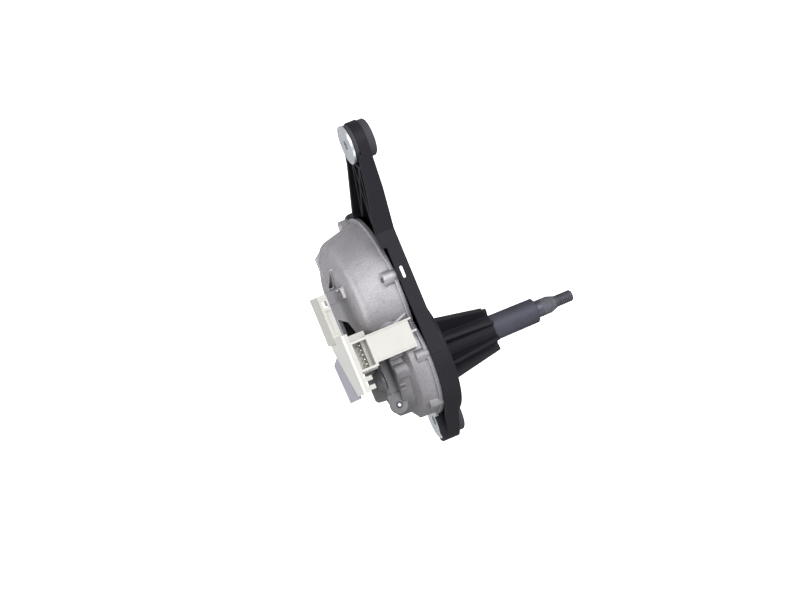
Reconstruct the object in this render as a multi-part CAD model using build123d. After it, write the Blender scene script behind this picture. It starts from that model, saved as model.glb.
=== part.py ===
from build123d import *

import math
import os

# Rear wiper motor. A moulded bracket hangs on three rubber bushes and carries a die-cast
# housing, whose motor turns a worm, a wheel and the wiper spindle to and fro.
#
# Frame, in millimetres: the spindle turns on X and points along +X, out through the tailgate.
# +Y runs along the bracket's long arm, and the connector opens to +Z. The origin is on the
# spindle's axis, in the plane where the three bushes meet the tailgate's panel.

# ------------------------------------------------------------------ driving dimensions
# Clearances
FIT_GAP = 0.03  # radial, between pieces that are pressed together
RUN_GAP = 0.05  # radial, running fit
SEAT_GAP = 0.25  # round a piece that is laid or clipped into its seat

# Bushes: places as (Y, Z), and the stack along X
LONG_ARM_AT = (143.5, 53.0)
LOWER_AT = (-41.0, -15.0)
FAR_AT = (66.0, -88.0)
RUBBER_R = 12.5
RUBBER_SET_BACK = 0.2  # the rubber's front, behind the sleeve's end
RUBBER_FRONT = 5.3
RUBBER_BACK = 3.3
RUBBER_NECK_R = 8.6
RUBBER_GROOVE = 0.9
SLEEVE_BORE_R = 3.3
SLEEVE_WALL = 1.5
WASHER_R = 12.9
WASHER_THICK = 1.6
EYE_R = 13.3
EYE_RELIEF = 1.2  # the rims stop short of the eye
LOWER_EYE_R = 15.2
LOWER_RIM = 4.2  # its rim's extra depth, away from the housing
LOWER_RIM_Y = (-57.0, -38.8)
LOWER_RIM_Z = -20.0
LOWER_SLOPE = (-50.0, 3.0)  # where the extra depth starts to run out, and by how much
EYE_THICK = 6.6

# Bracket moulding
PLATE_THICK = 3.0
WALL = 2.8
RIB = 2.0
RIM_DEPTH = 9.0  # from the plate's face to the rim's back edge
ARM_RIM_EXTRA = 3.6  # more of it where the long arm leaves the body
ARM_DEEP_Y = (74.0, 92.0)
ARM_RIM_END_Y = 133.0  # where the extra depth has run out
ARM_RIB_BACK = 1.2  # the ribs' back edges, in front of the rim's
SEAT_RIB_GAP = 2.6  # between the eye and the curved rib round it
NEAR_Z = 41.0  # the straight edge on the connector's side
BODY_MARGIN = 3.3  # plate beyond the housing's flange
ARM_BEND = (84.0, 41.0)
ARM_LAP = 40.0  # how far the arm's plan reaches back over the body
ARM_RIB_ROOTS = ((8.0, 20.0), (14.0, 2.0))  # the long ribs' ends: Y from the bend, and Z
ARM_NEAR = (110.0, 56.0)
ARM_FAR_ROOT = (103.5, -5.0)
PAD_R = 40.5
PAD_RISE = 3.3
PAD_CHAMFER = 1.2
CLIP = (2.1, 8.2, 12.2)  # the clip nut: along X, along Y, along Z
CLIP_BACK = 2.1  # the nut's pocket, in front of the rim's back edge
CLIP_INSET = 0.9  # the nut's edge, inside the wall's face
CLIP_SCREW = 1  # which of the housing's screws it takes

# Snout
SNOUT_END = 38.0
SNOUT_WALL = 2.0
SNOUT_TAPER = 1.5  # what its core's radius gains towards the pad
SNOUT_RIBS = 8
SNOUT_TURN = 30.0  # first rib, degrees from +Y towards +Z
SNOUT_RIB = 2.3
SNOUT_ROOT_R = 22.2
SNOUT_TIP_R = 15.1
SNOUT_FLARE = 3.3

# Spindle and what it turns in
SPINDLE_R = 5.6
SPINDLE_BACK = -43.0
REAR_BUSH_WALL = 2.55
BUSH_WALL = 1.57  # of the two bushes in the tube
TUBE_WALL = 1.35
TUBE_THINNING = 0.3  # what its radius loses from the snout to its end
TUBE_END = 70.4
TUBE_CHAMFER = 0.6
TUBE_LIP = (0.4, 1.0)  # the lip that keeps the seal in: inwards, along X
TUBE_FLANGE = 5.4
TUBE_FLANGE_THICK = 3.0
BUSH_LONG = 14.0
SEAL_LONG = 3.5
ARM_SEAT_R = 5.75
ARM_SEAT_END = 80.3
THREAD_START = 85.5
THREAD_R = 3.95
SPINDLE_TIP = 97.2
TIP_ROUND = 1.0
CIRCLIP_THICK = 1.0
CIRCLIP_R = 8.6
CIRCLIP_GROOVE = 0.5

# Housing casting
CAST_WALL = 2.8
FLANGE_THICK = 2.6
POT_AT = (48.7, -17.3)
POT_R = 52.5
POT_WALL_R = 50.6
POT_SHOULDER_R = 44.0
POT_SHOULDER = 26.8  # from the flange's face
POT_ROUND = 7.0  # the shoulder's fillet
POT_BACK_R = 31.0
POT_BACK = 31.5
BACK_BAR_Y = (54.5, 62.0)  # the raised bar across the pot's back
BACK_BAR_RISE = 1.6
BACK_PIN_R = 1.3
BACK_PIN = 3.4
GUSSET_Z = (-27.0, -23.5)
GUSSET_END = 40.0  # its reach from the pot's centre
GUSSET_RISE = 0.8
POCKET_DEPTH = 1.5
RIDGE = 0.9  # width of the raised edge round the pocket
RIDGE_RISE = 0.8
LOBE_R = 37.5
LOBE_SKIRT = 1.4  # the lobe's wall, inside the flange's edge
LOBE_TIER = 13.0  # depth of its first, widest tier
LOBE_SLOPE = 3.6  # and of the slope behind that
LOBE_STEP_R = 30.0
BLOCK_Y = (-17.0, 16.0)  # the box behind the lobe, round the spindle's rear bush
BLOCK_Z = (-27.0, 20.0)
BLOCK_CHAMFER = 2.0
NOSE_AT = (-4.2, 13.2)
NOSE_R = (8.4, 6.0)
NOSE_LONG = 3.8
DRUM_AT = (-2.2, 25.2)
DRUM_R = 6.8
DRUM_X = (-38.6, -29.0)
FRAME_RIB_Y = (6.6, 9.4)
FRAME_RIB_TOP = 31.0
BARS_AT = (-10.5, -13.5)  # the Y of two short bars beside the drum
BAR = (4.2, 1.2, 0.9)  # along X, along Y, above the wall
BAR_SET_IN = 0.4  # in front of the lobe's back face
BAR_FOOT = 4.0  # how far down into the lobe a bar starts
BOSS_R = 4.7
BOSS_LONG = 9.0
EAR_X = -42.0
EAR_R = 5.8
EAR_NECK = 0.4  # its root is this much narrower, each side
EAR_Z = (17.5, 20.5)
EAR_HEAD_R = 2.0
EAR_HEAD = 0.8
EAR_SCREW_R = 1.4
EAR_CLEAR = 3.0  # between the screw's head and the box
FIN = [(0.0, 32.7), (-13.1, 27.8), (-13.1, 26.2), (0.0, 31.1)]  # (X behind the flange's face, Y)
FIN_Z = (18.0, 30.0)
COVER_THICK = 1.2
COVER_RIM = 3.0
GASKET_THICK = 0.6
POT_SCREWS = (-8.5, 81.6, -55.5, -132.6)  # degrees round the pot, from +Y towards +Z
LOBE_SCREWS = (86.5, 146.5)  # the same round the lobe
SCREW_INSET = 2.9  # from the flange's edge
LOBE_INSET = 4.0
SCREW_R = 2.0
SCREW_HEAD_R = 4.2
SCREW_HEAD = 3.0
SCREW_LONG = 11.0
HEAD_SEAT = 7.0  # the head's underside, behind the plate's face
SOCKET_KEY_R = 1.6  # of the recess in the head

# Motor, measured along its axis from the foot of the pot's centre
MOTOR_DEPTH = 14.6  # its axis, behind the flange's face
YOKE_R = 17.0
YOKE_FLAT = 12.3
YOKE_WALL = 1.6
YOKE_SPAN = (-33.0, 9.0)
MAGNET_THICK = 3.9
CORE_R = 10.1
CORE_SPAN = (-24.0, 0.0)
CORE_POLES = 8
CORE_SLOT_R = 5.2
SHAFT_R = 2.5
SHAFT_SPAN = (-35.6, 50.6)
COMMUTATOR_R = 6.0
COMMUTATOR_SPAN = (7.2, 15.4)
COMMUTATOR_BARS = 8
BEARING_R = 5.2
BEARING_LONG = 4.4
SADDLE_AT = 17.5
CARD_THICK = 2.0
CARD_HOLE = 20.0  # the commutator's hole, long enough to pass the brush holders
BRUSH = (3.2, 4.0, 5.0)  # along X, along the shaft, towards it

# Worm gear
GEAR_MODULE = 1.25
WHEEL_TEETH = 40
WHEEL_WIDE = 8.5
WORM_PITCH_R = 4.9
WORM_LONG = 15.0
ADDENDUM = 1.0
DEDENDUM = 1.3
PRESSURE = math.radians(20)
BACKLASH = 0.34
WORM_HAND = 1  # right-handed
HUB_R = 10.5
HUB_WIDE = 13.0

# Electronics module, in the frame's own Y and Z
CASE_Y = (-7.0, 33.0)
CASE_Z = (3.0, 40.0)
CASE_WALL = 1.8
CASE_DEPTH = 16.7  # from the casting's back to the lid
CASE_SLAB = 2.2
CASE_BOX_Z = 26.0  # where the deep part ends and the socket begins
TRAY_Y = (5.0, 31.0)
LID_CUT = (22.0, 20.0)  # the lid's slanted corner: its Y on the lower edge, its Z on the side
LID_THICK = 2.0
LID_LIP = 1.2
BOARD_THICK = 1.6
BOARD_DEEP = 5.0  # its near face, behind the lid's seat
LIP_WALL = 1.2
CAN_R = 3.4
CHIP_TALL = 2.4
CHIP_WIDE = 4.4
CHIP_LONG = 7.0
SOCKET_Y = (6.5, 27.0)
SOCKET_DEPTH = 12.0  # along X
SOCKET_WALL = 1.6
PINS = 5
PIN = 0.64
PIN_PITCH = 3.2
PIN_REACH = 8.0  # above the socket's floor
COVER_BLOCK_Y = (8.5, 27.5)
COVER_BLOCK_X = -20.5
COVER_BLOCK_Z = 35.1
GUIDE_TOP = 62.0
GUIDE_Z = (-7.0, 18.0)
GUIDE_DEPTH = 6.0
GUIDE_EDGE = 1.3  # between its window and its open side
WINDOW_Y = (-8.5, -4.5)  # from the guide's end
PANEL = (2.0, -11.0, 0.6)  # the sunk panel: from the case's edge, from the guide's end, depth
MOUTH = [(44.0, -38.0), (39.4, -9.5), (29.7, 3.3), (18.0, 3.3), (17.0, -26.0), (28.0, -38.0)]
TONGUE_Y = (24.5, 31.0)
TONGUE_Z = (-8.0, 1.0)
SHIELD_LOW = ((-10.0, -15.0), (16.6, -18.5))  # its two lower corners
SHIELD_SIDE = (-9.0, 19.0)
SHIELD_THICK = 1.2
SHIELD_LEG = 11.0
SHIELD_LEG_Y = (7.0, 16.0)
LEDGE = (2.8, 7.0)  # along X, up from the socket's floor
PRONG = 1.2
PRONGS = ((-1.2, 2.6), (-9.5, 3.4))  # from the cover block's far side: place, length
PRONG_DEEP = 3.5
FINGERS_Y = (-6.0, 0.0)
FINGER = (5.6, 3.0, 5.0)
FINGER_RISE = 5.0  # above the socket's floor


def polar(radius, degrees, centre=(0.0, 0.0)):
    angle = math.radians(degrees)
    return (centre[0] + radius * math.cos(angle), centre[1] + radius * math.sin(angle))


# ------------------------------------------------------------------ worked out from them
EYE_FACE = -(RUBBER_SET_BACK + RUBBER_FRONT)
EYE_BACK = EYE_FACE - EYE_THICK
RUBBER_END = EYE_BACK - RUBBER_BACK
SLEEVE_END = RUBBER_END - WASHER_THICK
RIM_BACK = EYE_FACE - RIM_DEPTH
PAD_FACE = EYE_FACE + PAD_RISE
FLANGE_FACE = RIM_BACK
COVER_BACK = FLANGE_FACE - COVER_THICK
CAST_BACK = FLANGE_FACE - POT_BACK
WHEEL_ROOM = CAST_BACK + 9.7
EAR_AT = (EAR_X, BLOCK_Y[0] - EAR_HEAD_R - EAR_CLEAR)
SCREWS_AT = [polar(POT_R - SCREW_INSET, turn, POT_AT) for turn in POT_SCREWS]
SCREWS_AT += [polar(LOBE_R - LOBE_INSET, turn) for turn in LOBE_SCREWS]
HEAD_BACK = EYE_FACE - HEAD_SEAT
CLIP_FRONT = RIM_BACK + CLIP_BACK + SEAT_GAP + CLIP[0]
CLIP_AT = SCREWS_AT[CLIP_SCREW]
EYE_RADII = {"long_arm": EYE_R, "lower": LOWER_EYE_R, "far": EYE_R}
LOBE_BACK = WHEEL_ROOM - CAST_WALL
BUSHES = {"long_arm": LONG_ARM_AT, "lower": LOWER_AT, "far": FAR_AT}
WHEEL_R = GEAR_MODULE * WHEEL_TEETH / 2
GEAR_CENTRES = WHEEL_R + WORM_PITCH_R
POT_SPAN = math.hypot(*POT_AT)
AXIS_TURN = math.atan2(-POT_AT[1], -POT_AT[0]) - math.asin(GEAR_CENTRES / POT_SPAN)
MOTOR_X = FLANGE_FACE - MOTOR_DEPTH
WORM_AT = math.sqrt(POT_SPAN**2 - GEAR_CENTRES**2)
MOTOR = Plane(
    origin=(MOTOR_X, *POT_AT),
    x_dir=(1, 0, 0),
    z_dir=(0, math.cos(AXIS_TURN), math.sin(AXIS_TURN)),
).location
REAR_BUSH_R = SPINDLE_R + RUN_GAP + REAR_BUSH_WALL
TUBE_BORE_R = SPINDLE_R + RUN_GAP + BUSH_WALL + FIT_GAP
TUBE_R = TUBE_BORE_R + TUBE_WALL
TUBE_END_R = TUBE_R - TUBE_THINNING
TUBE_FLANGE_R = TUBE_R + TUBE_FLANGE
SNOUT_CORE_R = TUBE_R + SNOUT_WALL
WORM_LEAD = math.pi * GEAR_MODULE
# a gap of the wheel and the thread's crest face each other at rest
WHEEL_TURN = AXIS_TURN - math.pi / 2 + math.pi / WHEEL_TEETH
WORM_TURN = -90 - WORM_HAND * 360 * (WORM_LONG / 2) / WORM_LEAD
LID_SEAT = CAST_BACK - CASE_DEPTH
SOCKET_FRONT = LID_SEAT + CASE_SLAB + SOCKET_DEPTH


# ------------------------------------------------------------------ helpers
def slab(plan, x_from, x_to):
    """A plan drawn in (Y, Z), extruded along X."""
    return extrude(Plane.YZ.offset(x_from) * plan, amount=x_to - x_from)


def disc(radius, x_from, x_to, at=(0.0, 0.0)):
    return slab(Pos(*at) * Circle(radius), x_from, x_to)


def block(x, y, z):
    """A box from its lower and upper X, Y and Z."""
    sizes = [high - low for low, high in (x, y, z)]
    middle = [(high + low) / 2 for low, high in (x, y, z)]
    return Pos(*middle) * Box(*sizes)


def turned(outline, at=(0.0, 0.0)):
    """An outline of (X, radius) points, turned round an axis along X at (Y, Z)."""
    half = make_face(Polyline(*outline, close=True))
    return Pos(0, *at) * revolve(half, Axis.X, 360)


def spun(outline):
    """An outline of (radius, height) points, turned round Z and laid along the motor's axis."""
    half = make_face(Plane.XZ * Polyline(*outline, close=True))
    return MOTOR * revolve(half, Axis.Z, 360)


def along_motor(plan, start, end):
    """A plan drawn across the motor's axis, extruded along it."""
    return MOTOR * Pos(0, 0, start) * extrude(plan, amount=end - start)


def web(a, radius_a, b, radius_b):
    """Everything between the outer tangents of two circles, with the circles."""
    along = math.degrees(math.atan2(b[1] - a[1], b[0] - a[0]))
    lean = math.degrees(math.acos((radius_a - radius_b) / math.dist(a, b)))
    corners = [
        polar(radius_a, along + lean, a),
        polar(radius_b, along + lean, b),
        polar(radius_b, along - lean, b),
        polar(radius_a, along - lean, a),
    ]
    band = make_face(Polyline(*corners, close=True))
    return band + Pos(*a) * Circle(radius_a) + Pos(*b) * Circle(radius_b)


def strip(a, b, width):
    """A straight rib's plan from a to b."""
    turn = math.degrees(math.atan2(b[1] - a[1], b[0] - a[0]))
    middle = ((a[0] + b[0]) / 2, (a[1] + b[1]) / 2)
    return Pos(*middle) * Rot(0, 0, turn) * Rectangle(math.dist(a, b), width)


def save(shape, name):
    export_step(Compound(children=shape) if isinstance(shape, list) else shape, f"parts/{name}.step")


# ------------------------------------------------------------------ bushes
def bush_rubber(at):
    """A grommet with a groove that the bracket's eye sits in."""
    front = -RUBBER_SET_BACK
    bore = SLEEVE_BORE_R + SLEEVE_WALL + FIT_GAP
    lip = RUBBER_R - RUBBER_GROOVE
    outline = [
        (front, bore),
        (front, lip),
        (front - RUBBER_GROOVE, RUBBER_R),
        (EYE_FACE, RUBBER_R),
        (EYE_FACE, RUBBER_NECK_R),
        (EYE_BACK, RUBBER_NECK_R),
        (EYE_BACK, RUBBER_R),
        (RUBBER_END + RUBBER_GROOVE, RUBBER_R),
        (RUBBER_END, lip),
        (RUBBER_END, bore),
    ]
    return turned(outline, at)


def bush_sleeve(at):
    """A steel sleeve with the washer that the fixing screw's head bears on."""
    outer = SLEEVE_BORE_R + SLEEVE_WALL
    outline = [
        (0, SLEEVE_BORE_R),
        (0, outer),
        (RUBBER_END, outer),
        (RUBBER_END, WASHER_R),
        (SLEEVE_END, WASHER_R),
        (SLEEVE_END, SLEEVE_BORE_R),
    ]
    return turned(outline, at)


# ------------------------------------------------------------------ bracket
def arm_plan():
    """The long arm, from the body to its eye."""
    tip_near = polar(EYE_R, 110, LONG_ARM_AT)
    tip_far = polar(EYE_R, -44, LONG_ARM_AT)
    edge = [POT_AT, (ARM_BEND[0] - ARM_LAP, NEAR_Z), ARM_BEND, ARM_NEAR, tip_near, tip_far, ARM_FAR_ROOT]
    return make_face(Polyline(*edge, close=True)) + Pos(*LONG_ARM_AT) * Circle(EYE_R)


def body_plan():
    pot = POT_R + BODY_MARGIN
    plan = web(POT_AT, pot, (0, 0), PAD_R) + web((0, 0), PAD_R, LOWER_AT, LOWER_EYE_R)
    plan += web(POT_AT, pot, FAR_AT, EYE_R)
    plan += Pos(ARM_BEND[0] / 2, NEAR_Z / 2) * Rectangle(ARM_BEND[0], NEAR_Z)
    return plan


def inside(plan, wall):
    return offset(plan, -wall, kind=Kind.TANGENT)


def eye_cuts():
    """Room for each bush's rubber, and the bore that its neck passes."""
    cuts = []
    for name, at in BUSHES.items():
        room = WASHER_R + 2 * SEAT_GAP if name == "lower" else EYE_R + EYE_RELIEF
        cuts.append(disc(RUBBER_NECK_R + FIT_GAP, EYE_BACK - 1, EYE_FACE + 1, at))
        cuts.append(disc(room, EYE_BACK - RIM_DEPTH, EYE_BACK, at))
        cuts.append(disc(EYE_RADII[name], EYE_FACE, PAD_FACE + 1, at))
    return cuts


def arm_ribs(room):
    """Two long ribs with a cross between them, and a curved one round the eye."""
    body_ends = [(ARM_BEND[0] + along, across) for along, across in ARM_RIB_ROOTS]
    seat_r = EYE_R + SEAT_RIB_GAP
    eye_ends = (polar(seat_r, 200, LONG_ARM_AT), polar(seat_r, 246, LONG_ARM_AT))
    plan = Sketch()
    for body_end in body_ends:
        for eye_end in eye_ends:
            plan += strip(body_end, eye_end, RIB)
    curve = Circle(seat_r + RIB) - Circle(seat_r)
    plan += Pos(*LONG_ARM_AT) * curve
    return plan & room


def arm_rim_extra(plan):
    """The long arm's rim runs deeper towards the body, along a slanted back edge."""
    low, high = ARM_DEEP_Y
    slant = Polyline(
        (RIM_BACK + 1, low),
        (RIM_BACK - ARM_RIM_EXTRA, low),
        (RIM_BACK - ARM_RIM_EXTRA, high),
        (RIM_BACK, ARM_RIM_END_Y),
        (RIM_BACK + 1, ARM_RIM_END_Y),
        close=True,
    )
    wedge = Pos(0, 0, -POT_R) * extrude(make_face(slant), amount=2 * POT_R + EYE_R)
    rim = slab(plan - inside(plan, WALL), RIM_BACK - ARM_RIM_EXTRA, RIM_BACK + 1) & wedge
    rim -= disc(POT_R + SEAT_GAP, RIM_BACK - ARM_RIM_EXTRA - 1, RIM_BACK, POT_AT)
    for at in SCREWS_AT:
        rim -= disc(BOSS_R + SEAT_GAP, RIM_BACK - ARM_RIM_EXTRA - 1, RIM_BACK, at)
    return rim


def lower_rim_extra():
    """The lower eye's rim runs deeper where it is clear of the housing, and its end slopes."""
    back = RIM_BACK - LOWER_RIM
    rim = disc(LOWER_EYE_R, back, RIM_BACK + 1, LOWER_AT)
    low, high = LOWER_RIM_Y
    start, loss = LOWER_SLOPE
    side = Polyline(
        (RIM_BACK + 1, low),
        (back + loss, low),
        (back, start),
        (back, high),
        (RIM_BACK + 1, high),
        close=True,
    )
    return rim & Pos(0, 0, LOWER_RIM_Z) * extrude(make_face(side), amount=2 * LOWER_EYE_R)


def snout_rib():
    """One of the fins round the snout, with a flared foot."""
    foot = SNOUT_ROOT_R + SNOUT_FLARE
    outline = Polyline(
        (PAD_FACE + SNOUT_FLARE, SNOUT_ROOT_R),
        (SNOUT_END, SNOUT_TIP_R),
        (SNOUT_END, TUBE_R + 1),
        (PAD_FACE, TUBE_R + 1),
        (PAD_FACE, foot),
    )
    flare = RadiusArc((PAD_FACE, foot), (PAD_FACE + SNOUT_FLARE, SNOUT_ROOT_R), -SNOUT_FLARE)
    return Pos(0, 0, -SNOUT_RIB / 2) * extrude(make_face(outline + flare), amount=SNOUT_RIB)


def bracket():
    body = body_plan()
    arm = arm_plan()
    plan = body + arm
    floor_back = EYE_FACE - PLATE_THICK
    shell = slab(plan, RIM_BACK, EYE_FACE) - slab(inside(plan, WALL), RIM_BACK - 1, floor_back)
    shell += arm_rim_extra(plan)
    arm_room = inside(arm, WALL) - Pos(*POT_AT) * Circle(POT_R + RIB)
    shell += slab(arm_ribs(arm_room), RIM_BACK + ARM_RIB_BACK, floor_back)
    # the raised pad, hollow behind
    pad = [
        (EYE_FACE - 1, 0),
        (PAD_FACE, 0),
        (PAD_FACE, PAD_R - PAD_CHAMFER),
        (PAD_FACE - PAD_CHAMFER, PAD_R),
        (EYE_FACE - 1, PAD_R),
    ]
    shell += turned(pad)
    shell -= disc(PAD_R - WALL, RIM_BACK - 1, PAD_FACE - PLATE_THICK)
    collar_back = FLANGE_FACE + TUBE_FLANGE_THICK
    shell += disc(TUBE_FLANGE_R, collar_back, PAD_FACE - 1)
    # bosses for the housing's screws
    for at in SCREWS_AT:
        reach = PAD_FACE if math.hypot(*at) < PAD_R else EYE_FACE
        shell += disc(SCREW_HEAD_R + RIB, RIM_BACK, reach - 0.5, at) & slab(plan, RIM_BACK, PAD_FACE)
        shell -= disc(SCREW_HEAD_R + SEAT_GAP, HEAD_BACK, PAD_FACE + 1, at)
        shell -= disc(SCREW_R + SEAT_GAP, RIM_BACK - 1, PAD_FACE, at)
    shell += lower_rim_extra()
    for name, at in BUSHES.items():
        shell += disc(EYE_RADII[name], RIM_BACK, EYE_FACE, at)
    for cut in eye_cuts():
        shell -= cut
    shell -= disc(TUBE_R + RUN_GAP, RIM_BACK - 1, PAD_FACE + 1)
    shell -= disc(TUBE_FLANGE_R + SEAT_GAP, RIM_BACK - 1, collar_back)
    return shell - clip_shape(SEAT_GAP, NEAR_Z + 1)


def clip_shape(gap=0.0, top=NEAR_Z - CLIP_INSET):
    """The clip nut's round-edged plate, or with a gap the pocket that it slides into."""
    thick, wide, long = CLIP
    low = NEAR_Z - CLIP_INSET - long - gap
    plan = Rot(0, 0, 90) * SlotOverall(wide + 2 * gap, thick + 2 * gap)
    return Pos(CLIP_FRONT - thick / 2, CLIP_AT[0], low) * extrude(plan, amount=top - low)


def bracket_snout():
    """The ribbed nose that stands on the pad and holds the spindle's tube."""
    bore = TUBE_R + RUN_GAP
    root = SNOUT_CORE_R + SNOUT_TAPER
    core = [(PAD_FACE, bore), (PAD_FACE, root), (SNOUT_END, SNOUT_CORE_R), (SNOUT_END, bore)]
    snout = turned(core)
    for index in range(SNOUT_RIBS):
        snout += Rot(SNOUT_TURN + index * 360 / SNOUT_RIBS, 0, 0) * snout_rib()
    return snout


# ------------------------------------------------------------------ spindle
def spindle_tube():
    """The tube that the spindle turns in, flanged at the housing's end."""
    back = FLANGE_FACE
    outline = [
        (back, TUBE_BORE_R),
        (back, TUBE_FLANGE_R),
        (back + TUBE_FLANGE_THICK, TUBE_FLANGE_R),
        (back + TUBE_FLANGE_THICK, TUBE_R),
        (SNOUT_END, TUBE_R),
        (TUBE_END - TUBE_CHAMFER, TUBE_END_R),
        (TUBE_END, TUBE_END_R - TUBE_CHAMFER),
        (TUBE_END, TUBE_BORE_R - TUBE_LIP[0]),
        (TUBE_END - TUBE_LIP[1], TUBE_BORE_R - TUBE_LIP[0]),
        (TUBE_END - TUBE_LIP[1], TUBE_BORE_R),
    ]
    return turned(outline)


def ring(inner, outer, x_from, x_to):
    return disc(outer, x_from, x_to) - disc(inner, x_from - 1, x_to + 1)


def tube_bush(x_from):
    """A sintered bush, pressed into the tube."""
    return ring(SPINDLE_R + RUN_GAP, TUBE_BORE_R - FIT_GAP, x_from, x_from + BUSH_LONG)


def output_spindle():
    hub_back = WHEEL_ROOM + CIRCLIP_THICK
    clip = hub_back + HUB_WIDE
    groove = SPINDLE_R - CIRCLIP_GROOVE
    outline = [
        (SPINDLE_BACK, 0),
        (SPINDLE_BACK, SPINDLE_R - 0.5),
        (SPINDLE_BACK + 0.5, SPINDLE_R),
        (clip, SPINDLE_R),
        (clip, groove),
        (clip + CIRCLIP_THICK, groove),
        (clip + CIRCLIP_THICK, SPINDLE_R),
        (TUBE_END + 0.5, SPINDLE_R),
        (TUBE_END + 0.8, ARM_SEAT_R),
        (ARM_SEAT_END, ARM_SEAT_R),
        (THREAD_START, THREAD_R),
        (SPINDLE_TIP - TIP_ROUND, THREAD_R),
        (SPINDLE_TIP, THREAD_R - TIP_ROUND),
        (SPINDLE_TIP, 0),
    ]
    return turned(outline)


def spindle_circlip():
    start = WHEEL_ROOM + CIRCLIP_THICK + HUB_WIDE + 0.02
    groove = SPINDLE_R - CIRCLIP_GROOVE + FIT_GAP
    clip = ring(groove, CIRCLIP_R, start, start + CIRCLIP_THICK - 0.04)
    gap = block((start - 1, start + 2), (0, CIRCLIP_R + 1), (-2.0, 2.0))
    return clip - gap


# ------------------------------------------------------------------ worm gear
def wheel_teeth():
    """The toothed outline: straight flanks, like the rack that the worm's section is."""
    tooth = math.pi * GEAR_MODULE / 2 - BACKLASH
    tip, root = WHEEL_R + ADDENDUM, WHEEL_R - DEDENDUM
    lean = math.tan(PRESSURE)
    points = []
    for index in range(WHEEL_TEETH):
        middle = WHEEL_TURN + index * 2 * math.pi / WHEEL_TEETH
        corners = (
            (root, -(tooth / 2 + DEDENDUM * lean)),
            (tip, -(tooth / 2 - ADDENDUM * lean)),
            (tip, tooth / 2 - ADDENDUM * lean),
            (root, tooth / 2 + DEDENDUM * lean),
        )
        for radius, width in corners:
            angle = middle + width / WHEEL_R
            points.append((radius * math.cos(angle), radius * math.sin(angle)))
    return make_face(Polyline(*points, close=True))


def worm_wheel():
    """The plastic wheel, whose teeth lean with the worm's thread, moulded on the hub."""
    twist = math.degrees(WHEEL_WIDE / WHEEL_R * WORM_LEAD / (2 * math.pi * WORM_PITCH_R))
    back = MOTOR_X - WHEEL_WIDE / 2
    face = Plane.YZ.offset(back) * Rot(0, 0, -WORM_HAND * twist / 2) * wheel_teeth()
    centre = (back, 0, 0)
    along = (WHEEL_WIDE, 0, 0)
    wheel = Solid.extrude_linear_with_rotation(face.faces()[0], centre, along, WORM_HAND * twist)
    rim_inner = WHEEL_R - DEDENDUM - 3.2
    boss = HUB_R + 4.0
    for side in (-1, 1):
        x_from = MOTOR_X + side * 1.6
        x_to = MOTOR_X + side * (WHEEL_WIDE / 2 + 1)
        wheel -= ring(boss, rim_inner, min(x_from, x_to), max(x_from, x_to))
    for index in range(6):
        spoke = strip(polar(boss - 1, index * 60), polar(rim_inner + 1, index * 60), 2.4)
        wheel += slab(spoke, back + 0.8, back + WHEEL_WIDE - 0.8)
    return wheel - disc(HUB_R, back - 1, back + WHEEL_WIDE + 1)


def wheel_hub():
    back = WHEEL_ROOM + CIRCLIP_THICK
    hub = ring(SPINDLE_R + FIT_GAP, HUB_R - FIT_GAP, back, back + HUB_WIDE)
    return chamfer(hub.edges().filter_by(GeomType.CIRCLE).group_by(Axis.X)[-1], 0.6)


def worm_section():
    """The worm cut across: its trapezoid thread, wrapped once round the root."""
    root, tip = WORM_PITCH_R - DEDENDUM, WORM_PITCH_R + ADDENDUM
    tooth = math.pi * GEAR_MODULE / 2 - BACKLASH
    steps = 5
    sides = []
    for side in (1, -1):
        points = []
        for step in range(steps + 1):
            radius = root + (tip - root) * step / steps
            half = tooth / 2 - (radius - WORM_PITCH_R) * math.tan(PRESSURE)
            angle = side * 2 * math.pi * half / WORM_LEAD
            points.append((radius * math.cos(angle), radius * math.sin(angle)))
        sides.append(points)
    up, down = sides
    crest = ThreePointArc(up[-1], (tip, 0), down[-1])
    valley = ThreePointArc(up[0], (-root, 0), down[0])
    return make_face([Spline(*up), crest, Spline(*down), valley])


def armature_shaft():
    """The motor's shaft in two lengths, with the worm cut on it between them."""
    start = WORM_AT - WORM_LONG / 2
    turns = WORM_LONG / WORM_LEAD
    section = Rot(0, 0, WORM_TURN) * worm_section()
    thread = Solid.extrude_linear_with_rotation(
        section.faces()[0], (0, 0, 0), (0, 0, WORM_LONG), WORM_HAND * 360 * turns
    )
    low, high = SHAFT_SPAN
    back = Pos(0, 0, low) * extrude(Circle(SHAFT_R), amount=start - low)
    front = Pos(0, 0, start + WORM_LONG) * extrude(Circle(SHAFT_R), amount=high - start - WORM_LONG)
    return MOTOR * (back + Pos(0, 0, start) * thread + front)


# ------------------------------------------------------------------ motor
def yoke_plan(inset=0.0):
    """The yoke's section: round, with two flats across the housing's depth."""
    flats = Rectangle(2 * (YOKE_FLAT - inset), 4 * YOKE_R)
    return Circle(YOKE_R - inset) & flats


def motor_yoke():
    start, end = YOKE_SPAN
    yoke = along_motor(yoke_plan(), start, end)
    yoke += along_motor(Circle(BEARING_R + YOKE_WALL), start - BEARING_LONG, start + 1)
    yoke -= along_motor(yoke_plan(YOKE_WALL), start + YOKE_WALL, end + 1)
    yoke -= along_motor(Circle(BEARING_R + FIT_GAP), start - BEARING_LONG + YOKE_WALL, start + 3)
    return yoke


def magnets():
    """Two curved magnets, one on each round side of the yoke."""
    outer = YOKE_R - YOKE_WALL - FIT_GAP
    arcs = Circle(outer) - Circle(outer - MAGNET_THICK)
    arcs &= Rectangle(2 * (YOKE_FLAT - YOKE_WALL - SEAT_GAP), 4 * YOKE_R)
    arcs -= Rectangle(4 * YOKE_R, 2 * CORE_R * 0.75)
    start, end = CORE_SPAN
    return along_motor(arcs, start - 2, end + 2)


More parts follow.
